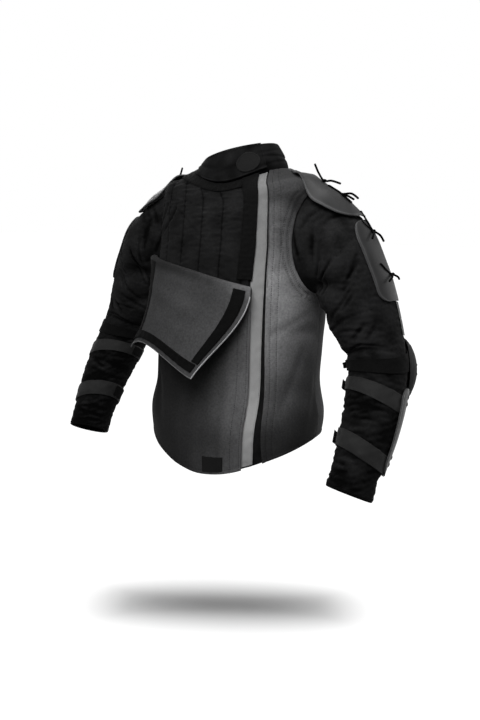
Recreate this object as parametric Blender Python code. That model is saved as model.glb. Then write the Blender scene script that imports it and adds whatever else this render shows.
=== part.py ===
"""A padded jacket for historical fencing, filled out as if worn, with nobody in it.

Frame: metres, +X the wearer's left, -Y the front, +Z up. The origin is midway between the two places
where the collar meets the shoulder seams, which is where the wearer's shoulders carry the jacket.
Every cloth piece is a wall between two grids of points that follow one smooth body or arm surface.
"""

from collections import namedtuple
from math import pi, radians

import bmesh
import bpy
import numpy as np
from mathutils import Vector

LEFT, RIGHT = 1, -1
SIDES = {"left": LEFT, "right": RIGHT}

# Cloth and plate thicknesses, and the gaps between layers.
SHELL = 0.003
QUILT = 0.0036
TAPE = 0.0011
STRAP = 0.0015
PLATE = 0.0026
SEAM = 0.0004
CLEAR = 0.0003
TAPE_CLEAR = 0.0011

# How far the inner face of each layer stands off the body surface.
SHELL_LIFT = 0.0018
OVERLAP_LIFT = 0.0062
CHEST_LIFT = 0.0006
UNDERLAP_LIFT = 0.0
STRIP_LIFT = UNDERLAP_LIFT + TAPE + 0.0005
SLEEVE_LIFT = 0.0008

# The right front rises to the overlap lift over this share of its width and, near the fold, of its height.
OVERLAP_WIDTH = 0.30
OVERLAP_HEIGHT_FROM, OVERLAP_HEIGHT_RISE = 0.80, 0.12

# The body surface, level by level from the hem up: heights at front, side and back, half width,
# depths in front of and behind the middle, and how square the section is (2 is an ellipse).
Level = namedtuple("Level", "z_front z_side z_back half_width front back square")
TORSO = {
    "hem": Level(-0.614, -0.548, -0.588, 0.187, 0.157, 0.149, 2.2),
    "hip": Level(-0.532, -0.502, -0.520, 0.190, 0.158, 0.146, 2.2),
    "waist": Level(-0.448, -0.436, -0.444, 0.178, 0.144, 0.122, 2.2),
    "ribs": Level(-0.340, -0.335, -0.340, 0.181, 0.142, 0.128, 2.3),
    "chest": Level(-0.238, -0.240, -0.240, 0.180, 0.139, 0.132, 2.4),
    "breast": Level(-0.152, -0.150, -0.150, 0.177, 0.122, 0.126, 2.5),
    "shoulder": Level(-0.080, -0.044, -0.058, 0.174, 0.100, 0.102, 2.5),
    "yoke": Level(-0.057, -0.023, -0.026, 0.136, 0.092, 0.086, 2.4),
    "neck": Level(-0.038, -0.006, 0.002, 0.095, 0.082, 0.071, 2.3),
}
LEVEL_NAMES = list(TORSO)
ARMPIT_LEVEL = LEVEL_NAMES.index("chest") - 0.05
SHOULDER_LEVEL = float(LEVEL_NAMES.index("shoulder"))
NECK_LEVEL = float(LEVEL_NAMES.index("neck"))
SIDE_SEAM = pi / 2
SIDE_GAP = SEAM / 2 / TORSO["chest"].half_width
ARMHOLE_FRONT = radians(27)
ARMHOLE_BACK = radians(27)
ARMHOLE_ROUND = 0.8

# The arm surface, station by station from the armhole down: centre, how far the section leans out
# and forward, and its half sizes across and fore and aft. Written for the left arm.
Station = namedtuple("Station", "x y z lean_out lean_fore across fore")
ARM = {
    "cap": Station(0.2255, 0.000, -0.1725, 64, 0, 0.0807, 0.087),
    "biceps": Station(0.2512, -0.002, -0.2202, 33, 2, 0.0705, 0.079),
    "mid_arm": Station(0.2743, -0.002, -0.2754, 24, 4, 0.0685, 0.073),
    "above_elbow": Station(0.301, -0.002, -0.333, 20, 10, 0.059, 0.065),
    "elbow": Station(0.317, -0.012, -0.378, 10, 24, 0.056, 0.061),
    "below_elbow": Station(0.324, -0.042, -0.426, 2, 34, 0.055, 0.057),
    "forearm": Station(0.327, -0.080, -0.483, -2, 34, 0.051, 0.052),
    "wrist": Station(0.325, -0.116, -0.540, -4, 32, 0.045, 0.046),
    "cuff": Station(0.321, -0.143, -0.588, -6, 30, 0.044, 0.045),
}
STATION_NAMES = ["armhole", *ARM]
ELBOW_SEAM = STATION_NAMES.index("elbow") + 0.25
CUFF_END = float(len(ARM))

# The collar: height at the middle of its range, how it tips, and its radii at the top. Its front flap
# covers the angles and shares of its height below, and the round patch sits on that flap.
COLLAR_TOP = 0.023
COLLAR_BACK_RISE = 0.012
COLLAR_LEFT_RISE = 0.016
COLLAR_TOP_WIDTH = 0.073
COLLAR_TOP_DEPTH = 0.073
COLLAR_WALL = 0.0045
COLLAR_TOP_Y = -0.008
COLLAR_BULGE = 0.004
COLLAR_FLAP = 0.0036
COLLAR_FLAP_FROM, COLLAR_FLAP_TO = radians(-128), radians(57)
COLLAR_FLAP_LOW, COLLAR_FLAP_SIDE, COLLAR_FLAP_HIGH = 0.11, 0.16, 1.03
COLLAR_FLARE, COLLAR_FLARE_SHARE = 0.0030, 0.6
COLLAR_PATCH_RADIUS = 0.0180
COLLAR_PATCH_AT, COLLAR_PATCH_SHARE = radians(36), 0.52
COLLAR_HEIGHT = 0.062

# The closure runs down the wearer's left of the breastbone: its distance from the middle at each level,
# and the distances from it at which the pieces beside it start and end.
CLOSURE = {"hem": 0.104, "waist": 0.107, "chest": 0.109, "breast": 0.106, "shoulder": 0.096, "neck": 0.073}
RIGHT_EDGE = -0.0120
CHEST_EDGE = -0.0195
STRIP_FROM, STRIP_TO, STRIP_BOTTOM = -0.0150, 0.0080, 0.09
LEFT_EDGE = {"hem": 0.0250, "waist": 0.0160, "chest": 0.0125, "neck": 0.0105}
UNDERLAP_FROM, UNDERLAP_TO = -0.0190, 0.0340

# The right front is folded down across the chest, from the armhole to the closure. The flap's free edge
# runs between two corners, and hollows draw that edge up and its outer edge in.
FOLD_AT_ARMHOLE = 4.55
FOLD_AT_CLOSURE = 4.02
ROLL_RADIUS = 0.0055
ROLL_TURN = radians(164)
FLAP_SHOULDER_CORNER = (-0.176, -0.160, -0.372)
FLAP_NECK_CORNER = (0.012, -0.207, -0.404)
FLAP_NECK_HOLLOW = 0.030
FLAP_SIDE_HOLLOW = 0.026
FLAP_FORWARD = 0.014

# The chest panel runs up from behind the roll, with a tape down its edge and one under the collar.
FOLD_UNDER = 0.955
CHEST_TAPE_FROM = {"chest": -0.0420, "neck": -0.0300}
CHEST_TAPE_TO = {"chest": -0.0130, "neck": -0.0030}
NECK_TAPE_FROM, NECK_TAPE_TO = NECK_LEVEL - 0.85, NECK_LEVEL - 0.12
NECK_TAPE_START = radians(12)
UNDERLAP_TOP = NECK_LEVEL - 0.08
CHEST_CHANNELS = 5
CHANNEL_DEPTH = 0.0010

# A square patch low on the right front, as shares of its width and of its height to the fold.
HEM_PATCH_SHARE = (0.775, 0.900)
HEM_PATCH_HEIGHT = (0.030, 0.130)

# Where the guards sit on the arm, in stations along it and turns round it in degrees. A strap's tilts
# say how far it slants, in stations, from back to front and from its inner to its outer side.
Strap = namedtuple("Strap", "along fore_tilt out_tilt width lift")
STRAPS = {
    "elbow_strap": Strap(4.80, 0.42, 0.05, 0.034, 0.0012),
    "forearm_strap_top": Strap(5.95, 0.10, 0.22, 0.027, 0.0009),
    "forearm_strap_end": Strap(7.60, 0.00, 0.20, 0.027, 0.0015),
}
ArmPlate = namedtuple("ArmPlate", "start end turn_top turn_end half_width corner lift")
ARM_PLATES = {
    "upper_arm_plate": ArmPlate(1.02, 2.98, 184, 182, 0.047, 0.022, 0.0018),
    "forearm_plate": ArmPlate(5.66, 8.05, 188, 202, 0.032, 0.024, 0.0040),
}
PLATE_ARC = 0.066
CUP_TURN, CUP_HALF_TURN = 238, 46
CUP_ALONG, CUP_HALF_LENGTH = 4.92, 0.058
CUP_LIFT, CUP_RISE = 0.0045, 0.020
STRIP_TURN, STRIP_WIDTH, STRIP_ALONG = 190, 0.020, (3.02, 3.95)

# The shoulder plate, from beside the neck (-1) over the armhole (0) to stations down the arm.
PlateRow = namedtuple("PlateRow", "place half_turn lift")
SHOULDER_PLATE = [
    PlateRow(-1.00, 6, 0.0053),
    PlateRow(-0.80, 19, 0.0061),
    PlateRow(-0.45, 28, 0.0100),
    PlateRow(0.00, 35, 0.0155),
    PlateRow(0.45, 37, 0.0110),
    PlateRow(0.93, 27, 0.0055),
]
NECK_MARGIN = 0.45

# Folds pressed into the sleeves: place and heading, half length, half width and depth.
Fold = namedtuple("Fold", "turn along heading length width depth")
SLEEVE_FOLDS = [
    Fold(0.30 * pi, 1.35, 62, 0.060, 0.016, 0.0060),
    Fold(0.46 * pi, 2.05, 50, 0.055, 0.016, 0.0050),
    Fold(0.16 * pi, 2.70, 35, 0.050, 0.015, 0.0050),
    Fold(0.34 * pi, 4.35, 4, 0.060, 0.013, 0.0070),
    Fold(1.48 * pi, 1.70, -50, 0.055, 0.016, 0.0050),
    Fold(1.62 * pi, 3.30, -22, 0.050, 0.015, 0.0045),
    Fold(0.45 * pi, 7.95, 8, 0.050, 0.011, 0.0035),
    Fold(1.30 * pi, 8.20, -6, 0.050, 0.011, 0.0035),
]
FOLD_BANK, FOLD_BANK_WIDTH, FOLD_START = 0.4, 1.9, 0.6
ARM_RADIUS = 0.06
STATION_STEP = 0.058

# Rivets down the middle of each forearm plate, in stations.
RIVETS = (5.86, 6.06, 7.50, 7.70)
RIVET_RADIUS, RIVET_HEIGHT, RIVET_SIDES = 0.0038, 0.0014, 10

# The laces of the left plates: free end, bend, knot, bend, free end.
LACE = 0.0026
LACE_KNOT, LACE_TIP_KNOT = 1.9, 1.5
LACES = {
    "neck": [
        (0.1585, 0.0010, 0.0040), (0.1664, 0.0030, -0.0122), (0.1778, 0.0040, -0.0264),
        (0.1914, 0.0085, -0.0262), (0.2070, 0.0150, -0.0310),
    ],
    "shoulder": [
        (0.2420, 0.0235, -0.0580), (0.2322, 0.0125, -0.0501), (0.2210, 0.0010, -0.0523),
        (0.2257, 0.0130, -0.0546), (0.2320, 0.0270, -0.0600),
    ],
    "arm_top": [
        (0.2985, 0.0240, -0.1370), (0.2946, 0.0110, -0.1262), (0.2841, 0.0000, -0.1190),
        (0.2906, -0.0130, -0.1232), (0.2930, -0.0275, -0.1320),
    ],
    "arm_end": [
        (0.3320, 0.0330, -0.2080), (0.3332, 0.0170, -0.2025), (0.3251, 0.0056, -0.1976),
        (0.3307, -0.0090, -0.2015), (0.3305, -0.0245, -0.2080),
    ],
}
LACE_STEPS = 14

# Grid steps.
ROWS_TO_ARMPIT = 7
ROWS_TO_SHOULDER = 10
ROWS_TO_NECK = 3
AROUND_ARM = 20


def eased(rows, at):
    """Points along smooth curves through a table: rows is (row, ..., column) and at a row number."""
    last = len(rows) - 1
    at = np.clip(at, 0, last)
    row = np.minimum(at.astype(int), last - 1)
    t = (at - row)[:, None]
    spots = () if rows.ndim == 2 else (np.arange(len(at)),)
    before, start, end, after = (
        rows[(np.clip(row + step, 0, last), *spots)] for step in (-1, 0, 1, 2)
    )
    return 0.5 * (
        2 * start
        + (end - before) * t
        + (2 * before - 5 * start + 4 * end - after) * t**2
        + (3 * start - before - 3 * end + after) * t**3
    )


def torso(angle, level):
    """Points on the body surface. Angle 0 is the front and grows towards the wearer's left."""
    angle, level = np.broadcast_arrays(angle, level)
    row = eased(np.array(list(TORSO.values())), level.ravel().astype(float))
    sine, cosine = np.sin(angle).ravel(), np.cos(angle).ravel()
    z_front, z_side, z_back, half_width, front, back, square = row.T
    depth = np.where(cosine > 0, front, back)
    reach = (np.abs(sine / half_width) ** square + np.abs(cosine / depth) ** square) ** (-1 / square)
    ahead, behind = np.maximum(cosine, 0) ** 2, np.maximum(-cosine, 0) ** 2
    z = z_side + (z_front - z_side) * ahead + (z_back - z_side) * behind
    return np.stack([reach * sine, -reach * cosine, z], -1).reshape(*angle.shape, 3)


def at_level(table, level):
    """A value at each level, read straight between a table's named levels."""
    return np.interp(level, [LEVEL_NAMES.index(name) for name in table], list(table.values()))


def closure_angle(level, beside=0.0):
    """The angle of the closure at each level, moved sideways by beside."""
    x = at_level(CLOSURE, level) + beside
    row = eased(np.array(list(TORSO.values())), np.atleast_1d(level).ravel().astype(float))
    half_width, front, square = row[:, 3], row[:, 4], row[:, 6]
    y = front * (1 - np.minimum(np.abs(x.ravel()) / half_width, 0.999) ** square) ** (1 / square)
    return np.arctan2(x.ravel(), y).reshape(np.shape(level))


def armhole_level(turn):
    """The body level that the armhole has at a turn, from 0 at the armpit to pi at the shoulder."""
    return ARMPIT_LEVEL + (SHOULDER_LEVEL - ARMPIT_LEVEL) * (1 - np.cos(turn)) / 2


def armhole_angle(turn):
    """The angle that the left armhole's edge has at a turn: ahead of the side seam, then behind it."""
    reach = np.where(np.sin(turn) >= 0, ARMHOLE_FRONT, -ARMHOLE_BACK)
    return SIDE_SEAM - reach * np.abs(np.sin(turn)) ** ARMHOLE_ROUND


def armhole_turn(level):
    """The turn at which the armhole reaches a level: the inverse of armhole_level."""
    share = np.clip((level - ARMPIT_LEVEL) / (SHOULDER_LEVEL - ARMPIT_LEVEL), 0, 1)
    return np.arccos(1 - 2 * share)


def edge_angle(level, reach):
    """Angle of a panel's side edge: the side seam, hollowed by reach where the armhole is."""
    return SIDE_SEAM - reach * np.sin(armhole_turn(level)) ** ARMHOLE_ROUND


def unit(vectors):
    """The vectors at length one."""
    return vectors / np.linalg.norm(vectors, axis=-1, keepdims=True)


def normals(surface, u, v, step=2e-3):
    """Outward directions of a surface, from its two slopes."""
    across = surface(u + step, v) - surface(u - step, v)
    along = surface(u, v + step) - surface(u, v - step)
    return unit(np.cross(across, along))


def grid_normals(points):
    """Directions square to a grid of points, from the lines through each point's neighbours."""
    return unit(np.cross(np.gradient(points, axis=1), np.gradient(points, axis=0)))


def armhole(turn):
    """The armhole's edge on the left of the body, drawn in a little, where the sleeve starts."""
    angle, level = armhole_angle(turn), armhole_level(turn)
    edge = torso(angle, level) + SLEEVE_LIFT * normals(torso, angle, level)
    middle = torso(SIDE_SEAM, (ARMPIT_LEVEL + SHOULDER_LEVEL) / 2)
    return edge + 2 * SEAM * unit(middle - edge)


def section(station, turn):
    """A closed section of the sleeve at one station, on the left arm."""
    out, fore = radians(station.lean_out), radians(station.lean_fore)
    down = np.array([np.sin(out), -np.cos(out) * np.sin(fore), -np.cos(out) * np.cos(fore)])
    inward = unit(np.array([-1.0, 0, 0]) + down[0] * down)
    forward = np.cross(inward, down)
    centre = np.array([station.x, station.y, station.z])
    cosine, sine = np.cos(turn)[..., None], np.sin(turn)[..., None]
    return centre + station.across * cosine * inward + station.fore * sine * forward


def sleeve(turn, along):
    """Points on the left arm's surface. Turn 0 faces the body, pi / 2 the front and pi outwards."""
    turn, along = np.broadcast_arrays(turn, along)
    flat = turn.ravel().astype(float)
    rings = np.stack([armhole(flat)] + [section(station, flat) for station in ARM.values()])
    return eased(rings, along.ravel().astype(float)).reshape(*turn.shape, 3)


def mirrored(points, side):
    """Points of the left side, or their mirror on the right."""
    return points * np.array([side, 1, 1])


def fold_depth(turn, along, folds):
    """How far the folds press the surface in, with a soft bank on each side of every fold."""
    depth = np.zeros(np.shape(turn))
    for fold in folds:
        sideways = (np.mod(turn - fold.turn + pi, 2 * pi) - pi) * ARM_RADIUS
        lengthwise = (along - fold.along) * STATION_STEP
        heading = radians(fold.heading)
        near = sideways * np.cos(heading) + lengthwise * np.sin(heading)
        away = lengthwise * np.cos(heading) - sideways * np.sin(heading)
        fade = np.exp(-((near / fold.length) ** 4))
        banks = FOLD_BANK * np.exp(-((away / fold.width / FOLD_BANK_WIDTH) ** 2))
        trough = np.exp(-((away / fold.width) ** 2)) - banks
        depth += fold.depth * fade * trough / (1 - FOLD_BANK)
    return depth * smooth(along / FOLD_START)


def finish(name, colour, roughness, metallic=0.0):
    """A material of one colour."""
    material = bpy.data.materials.new(name)
    material.use_nodes = True
    shader = material.node_tree.nodes["Principled BSDF"]
    shader.inputs["Base Color"].default_value = (*colour, 1)
    shader.inputs["Roughness"].default_value = roughness
    shader.inputs["Metallic"].default_value = metallic
    return material


def solid(name, mesh, material, collection):
    """An object for a mesh, with its faces turned outwards."""
    shape = bmesh.new()
    shape.from_mesh(mesh)
    bmesh.ops.recalc_face_normals(shape, faces=shape.faces)
    shape.to_mesh(mesh)
    shape.free()
    mesh.materials.append(material)
    mesh.shade_smooth()
    mesh.set_sharp_from_angle(angle=radians(50))
    made = bpy.data.objects.new(name, mesh)
    collection.objects.link(made)
    return made


def wall(name, inner, outer, material, collection, ring=False):
    """A closed wall between two grids of points. A ring's last column meets its first."""
    rows, columns = inner.shape[:2]
    number = np.arange(rows * columns).reshape(rows, columns)
    if ring:
        number = np.hstack([number, number[:, :1]])
    side = np.stack([number[:-1, :-1], number[:-1, 1:], number[1:, 1:], number[1:, :-1]], -1)
    rims = [number[0], number[-1]] + ([] if ring else [number[:, 0], number[:, -1]])
    far = rows * columns
    faces = [side.reshape(-1, 4), side.reshape(-1, 4) + far]
    faces += [np.stack([rim[:-1], rim[1:], rim[1:] + far, rim[:-1] + far], -1) for rim in rims]
    mesh = bpy.data.meshes.new(name)
    points = np.concatenate([inner.reshape(-1, 3), outer.reshape(-1, 3)])
    mesh.from_pydata(points.tolist(), [], np.concatenate(faces).tolist())
    return solid(name, mesh, material, collection)


def torso_levels(top=NECK_LEVEL):
    """The levels of a body panel's rows, with a row at the armpit and one at the shoulder."""
    low = np.linspace(0, ARMPIT_LEVEL, ROWS_TO_ARMPIT + 1)
    middle = armhole_level(np.linspace(0, pi, ROWS_TO_SHOULDER + 1))
    high = np.linspace(SHOULDER_LEVEL, NECK_LEVEL, ROWS_TO_NECK + 1)
    levels = np.concatenate([low, middle[1:], high[1:]])
    return levels[levels <= top]


def between(start, end, columns):
    """A grid whose rows run evenly from start to end."""
    share = np.linspace(0, 1, columns + 1)
    return start[:, None] * (1 - share) + end[:, None] * share


def body_panel(name, angle, level, lift, thickness, material, collection, relief=0.0):
    """A cloth panel on the body surface, from a grid of angles and levels."""
    points, out = torso(angle, level), normals(torso, angle, level)
    inner = points + np.broadcast_to(lift, angle.shape)[..., None] * out
    outer = inner + (thickness + np.broadcast_to(relief, angle.shape))[..., None] * out
    return wall(name, inner, outer, material, collection)


def front_left(cloth, collection):
    """The left front, from the closure to the side seam and armhole, and up to the shoulder seam."""
    levels = torso_levels()
    edge = edge_angle(levels, ARMHOLE_FRONT) - SIDE_GAP
    angle = between(closure_angle(levels, at_level(LEFT_EDGE, levels)), edge, 9)
    level = np.repeat(levels[:, None], angle.shape[1], 1)
    return body_panel("front_left", angle, level, SHELL_LIFT, SHELL, cloth, collection)


def back(cloth, collection):
    """The back, from one side seam to the other, and over the shoulders to the neck."""
    levels = torso_levels()
    edge = edge_angle(levels, ARMHOLE_BACK) - SIDE_GAP
    angle = between(pi - edge, pi + edge, 16)
    level = np.repeat(levels[:, None], angle.shape[1], 1)
    return body_panel("back", angle, level, SHELL_LIFT, SHELL, cloth, collection)


def fold_level(share):
    """The level of the fold line, from the armhole (0) to the closure (1)."""
    return FOLD_AT_ARMHOLE + (FOLD_AT_CLOSURE - FOLD_AT_ARMHOLE) * share


def smooth(share):
    """A share from 0 to 1 with a soft start and end."""
    share = np.clip(share, 0, 1)
    return share**2 * (3 - 2 * share)


def overlap_lift(share, height):
    """How far the right front stands off the body: more by the closure, and over the chest panel."""
    near_fold = smooth((height - OVERLAP_HEIGHT_FROM) / OVERLAP_HEIGHT_RISE)
    over = np.maximum(smooth(share / OVERLAP_WIDTH), near_fold)
    return SHELL_LIFT + (OVERLAP_LIFT - SHELL_LIFT) * over


def right_front_grid(share, height):
    """Angles and levels of the right front: share runs to the closure, height from hem to fold."""
    level = fold_level(share) * height
    edge = -edge_angle(fold_level(0.0) * height, ARMHOLE_FRONT) + SIDE_GAP
    return edge * (1 - share) + closure_angle(level, RIGHT_EDGE) * share, level


def roll(share, turn):
    """Points round the rolled fold line, and the way the cloth heads there."""
    angle, level = right_front_grid(share, np.ones_like(share))
    out = normals(torso, angle, level)
    up = unit(torso(angle, level + 0.01) - torso(angle, level - 0.01))
    start = torso(angle, level) + OVERLAP_LIFT * out
    centre = start + (ROLL_RADIUS + SHELL) * out
    turn = turn[..., None]
    reach = (ROLL_RADIUS + SHELL) * (up * np.sin(turn) - out * np.cos(turn))
    return centre + reach, out * np.sin(turn) + up * np.cos(turn)


def flap(share, drop):
    """The side of the folded-down flap that shows, from the roll (drop 0) to its free edge (1).

    The bow along the free edge is 0 at both corners and at most 1, a third of the way across.
    """
    start, heading = roll(share, np.full_like(share, ROLL_TURN))
    corner = np.array(FLAP_SHOULDER_CORNER), np.array(FLAP_NECK_CORNER)
    bow = 6.75 * share * (1 - share) ** 2
    rise = np.array([0, 0, FLAP_NECK_HOLLOW]) - np.array([0, FLAP_FORWARD, 0])
    end = corner[0] + (corner[1] - corner[0]) * share[..., None] + rise * bow[..., None]
    length = np.linalg.norm(end - start, axis=-1, keepdims=True)
    leave, arrive = heading * length, end - start
    t = drop[..., None]
    hollow = FLAP_SIDE_HOLLOW * 4 * t * (1 - t) * ((1 - share) ** 3)[..., None] * np.array([1, 0, 0])
    return hollow + (
        start * (1 - t) ** 2 * (1 + 2 * t)
        + end * t**2 * (3 - 2 * t)
        + leave * t * (1 - t) ** 2
        - arrive * t**2 * (1 - t)
    )


def front_right(cloth, collection):
    """The right front as one sheet: up from the hem, over the roll, and down as the flap."""
    across, over, down = np.linspace(0, 1, 13), 5, 8
    levels = torso_levels()
    up = np.append(levels[levels < FOLD_AT_ARMHOLE - 0.05], FOLD_AT_ARMHOLE) / FOLD_AT_ARMHOLE
    share, height = np.meshgrid(across, up)
    angle, level = right_front_grid(share, height)
    body = torso(angle, level) + overlap_lift(share, height)[..., None] * normals(torso, angle, level)
    share, turn = np.meshgrid(across, np.linspace(0, ROLL_TURN, over + 1)[1:])
    rolled, _ = roll(share, turn)
    share, drop = np.meshgrid(across, np.linspace(0, 1, down + 1)[1:])
    inner = np.concatenate([body, rolled, flap(share, drop)])
    outer = inner + SHELL * grid_normals(inner)
    return wall("front_right", inner, outer, cloth, collection)


def flap_tape(name, share, drop, tape, collection):
    """A fastening tape on the side of the flap that shows."""
    points = flap(share, drop)
    out = -grid_normals(points)
    return wall(name, points + TAPE_CLEAR * out, points + (TAPE_CLEAR + TAPE) * out, tape, collection)


def flap_tapes(tape, collection):
    """Two tapes on the flap: one along its free edge and one along its closure edge."""
    share, drop = np.meshgrid(np.linspace(0.04, 0.96, 13), np.linspace(0.86, 0.95, 3))
    flap_tape("flap_tape_end", share, drop, tape, collection)
    share, drop = np.meshgrid(np.linspace(0.86, 0.96, 3), np.linspace(0.03, 0.845, 9))
    flap_tape("flap_tape_side", share, drop, tape, collection)


def chest_grid(share):
    """Angles and levels of the chest panel, from behind the roll up to the neck."""
    low = FOLD_UNDER * FOLD_AT_ARMHOLE
    levels = torso_levels()
    levels = np.concatenate([[low], levels[levels > low + 0.05]])
    slope = FOLD_UNDER * (FOLD_AT_ARMHOLE - FOLD_AT_CLOSURE)
    above = ((NECK_LEVEL - levels) / (NECK_LEVEL - low)) ** 2
    level = levels[:, None] - slope * above[:, None] * share
    edge = -edge_angle(levels, ARMHOLE_FRONT) + SIDE_GAP
    return edge[:, None] * (1 - share) + closure_angle(level, CHEST_EDGE) * share, level


def chest_right(quilted, collection):
    """The quilted layer of the right chest, which the folded front leaves bare."""
    share = np.linspace(0, 1, 4 * CHEST_CHANNELS + 1)
    angle, level = chest_grid(share)
    pads = np.abs(np.sin(pi * CHEST_CHANNELS * share)) ** 0.6 * CHANNEL_DEPTH
    relief = pads * smooth((level - level[0]) / 0.4)
    return body_panel("chest_right", angle, level, CHEST_LIFT, QUILT, quilted, collection, relief)


def closure_band(name, start, end, levels, lift, material, collection):
    """A strip down the closure, between two distances beside it."""
    angle = between(closure_angle(levels, start), closure_angle(levels, end), 2)
    level = np.repeat(levels[:, None], angle.shape[1], 1)
    return body_panel(name, angle, level, lift, TAPE, material, collection)


def closure(finishes, collection):
    """The pieces down the closure: underlap, light strip, and the chest's two tapes."""
    levels = torso_levels()
    under = np.append(levels[:-1], UNDERLAP_TOP)
    cloth, light, tape = (finishes[name] for name in ("black_cloth", "light_tape", "tape"))
    closure_band("underlap", UNDERLAP_FROM, UNDERLAP_TO, under, UNDERLAP_LIFT, cloth, collection)
    strip = np.append(STRIP_BOTTOM, under[1:])
    closure_band("closure_strip", STRIP_FROM, STRIP_TO, strip, STRIP_LIFT, light, collection)
    chest_levels = levels[levels > FOLD_AT_CLOSURE + 0.2]
    lift = CHEST_LIFT + QUILT + CHANNEL_DEPTH + CLEAR
    start, end = (at_level(edge, chest_levels) for edge in (CHEST_TAPE_FROM, CHEST_TAPE_TO))
    closure_band("chest_tape_side", start, end, chest_levels, lift, tape, collection)
    top = np.linspace(NECK_TAPE_FROM, NECK_TAPE_TO, 4)
    start = np.full_like(top, NECK_TAPE_START - SIDE_SEAM)
    angle = between(start, closure_angle(top, at_level(CHEST_TAPE_FROM, top) - 2 * SEAM), 16)
    level = np.repeat(top[:, None], angle.shape[1], 1)
    body_panel("chest_tape_top", angle, level, lift + 2 * SEAM, TAPE, tape, collection)


def hem_patch(material, collection):
    """A plain square patch low on the right front."""
    share, height = np.meshgrid(np.linspace(*HEM_PATCH_SHARE, 4), np.linspace(*HEM_PATCH_HEIGHT, 4))
    angle, level = right_front_grid(share, height)
    lift = overlap_lift(share, height) + SHELL + 2 * CLEAR
    return body_panel("hem_patch", angle, level, lift, TAPE, material, collection)


def collar_surface(angle, rise):
    """Points on the outside of the standing collar, rise 0 at the neck and 1 at its top."""
    angle, rise = np.broadcast_arrays(angle, rise)
    base = torso(angle, np.full(angle.shape, NECK_LEVEL))
    sine, cosine = np.sin(angle), np.cos(angle)
    height = COLLAR_TOP + COLLAR_BACK_RISE * (1 - cosine) / 2 + COLLAR_LEFT_RISE * sine
    top = np.stack([COLLAR_TOP_WIDTH * sine, COLLAR_TOP_Y - COLLAR_TOP_DEPTH * cosine, height], -1)
    t = rise[..., None]
    bulge = COLLAR_BULGE * np.sin(pi * t) * collar_out(angle)
    return base + (top - base) * t + bulge


def collar_out(angle):
    """The level direction away from the neck."""
    return np.stack([np.sin(angle), -np.cos(angle), np.zeros_like(angle)], -1)


def off_collar(angle, rise, lift):
    """Points a lift off the collar, which flares out lower down to clear the body's cloth."""
    lift = lift + COLLAR_FLARE * (1 - smooth(rise / COLLAR_FLARE_SHARE))
    return collar_surface(angle, rise) + lift[..., None] * collar_out(angle)


def collar(finishes, collection):
    """The standing collar, the flap that closes round its front, and a plain round patch."""
    angle, rise = np.meshgrid(np.arange(28) * pi / 14, np.linspace(0, 1, 5))
    outer = collar_surface(angle, rise)
    inner = outer - COLLAR_WALL * collar_out(angle)
    wall("collar", inner, outer, finishes["black_cloth"], collection, ring=True)

    angle, share = np.meshgrid(np.linspace(COLLAR_FLAP_FROM, COLLAR_FLAP_TO, 19), np.linspace(0, 1, 5))
    low = COLLAR_FLAP_LOW + COLLAR_FLAP_SIDE * np.sin(angle) ** 2
    rise = low + (COLLAR_FLAP_HIGH - low) * share
    inner, outer = (off_collar(angle, rise, 3 * CLEAR + more) for more in (0.0, COLLAR_FLAP))
    wall("collar_flap", inner, outer, finishes["black_cloth"], collection)

    u, v = np.meshgrid(np.linspace(-1, 1, 5), np.linspace(-1, 1, 5))
    angle = COLLAR_PATCH_AT + COLLAR_PATCH_RADIUS / COLLAR_TOP_WIDTH * u * np.sqrt(1 - v**2 / 2)
    rise = COLLAR_PATCH_SHARE + COLLAR_PATCH_RADIUS / COLLAR_HEIGHT * v * np.sqrt(1 - u**2 / 2)
    lift = COLLAR_FLAP + 5 * CLEAR
    inner, outer = (off_collar(angle, rise, lift + more) for more in (0.0, TAPE))
    wall("collar_patch", inner, outer, finishes["patch"], collection)


def arm_out(turn, along):
    """Directions away from the middle of the left arm."""
    return -normals(sleeve, turn, along)


def sleeve_skin(turn, along, lift):
    """Points a lift off the sleeve's outside, folds and all, on the left arm."""
    pressed = lift - fold_depth(turn, along, SLEEVE_FOLDS)
    return sleeve(turn, along) + np.asarray(pressed)[..., None] * arm_out(turn, along)


def around(columns=AROUND_ARM):
    """Turns round the arm."""
    return np.arange(columns) * 2 * pi / columns


def sleeves(name, side, finishes, collection):
    """The upper and lower tubes of one sleeve."""
    for part, start, end, rows in (
        ("upper", 0.0, ELBOW_SEAM - SEAM / STATION_STEP, 15),
        ("lower", ELBOW_SEAM, CUFF_END, 10),
    ):
        turn, along = np.meshgrid(around(), np.linspace(start, end, rows + 1))
        outer, inner = (sleeve_skin(turn, along, lift) for lift in (0.0, -QUILT))
        wall(
            f"sleeve_{part}_{name}", mirrored(inner, side), mirrored(outer, side),
            finishes["black_cloth"], collection, ring=True,
        )


def strap(name, spec, side, material, collection):
    """A flat band round the sleeve."""
    turn, across = np.meshgrid(around(), [-1.0, 1.0])
    along = spec.along + spec.fore_tilt * np.sin(turn) - spec.out_tilt * np.cos(turn)
    along = along + across * spec.width / 2 / STATION_STEP
    lifted = [sleeve_skin(turn, along, spec.lift + more) for more in (0.0, STRAP)]
    return wall(name, *(mirrored(points, side) for points in lifted), material, collection, ring=True)


def rounded(length, radius):
    """Rows along a piece of a length with rounded corners: how far along, and the inset of its sides."""
    corner = radius * (1 - np.cos(np.linspace(0, pi / 2, 4)))
    middle = np.linspace(radius, length - radius, 6)
    along = np.concatenate([corner[:-1], middle, length - corner[-2::-1]])
    near = np.clip(radius - np.minimum(along, length - along), 0, radius)
    return along, radius - np.sqrt(radius**2 - near**2)


def plate_middle(spec, along):
    """The turn of a plate's middle line at a place along the arm."""
    share = (along - spec.start) / (spec.end - spec.start)
    return radians(spec.turn_top) + radians(spec.turn_end - spec.turn_top) * share


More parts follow.
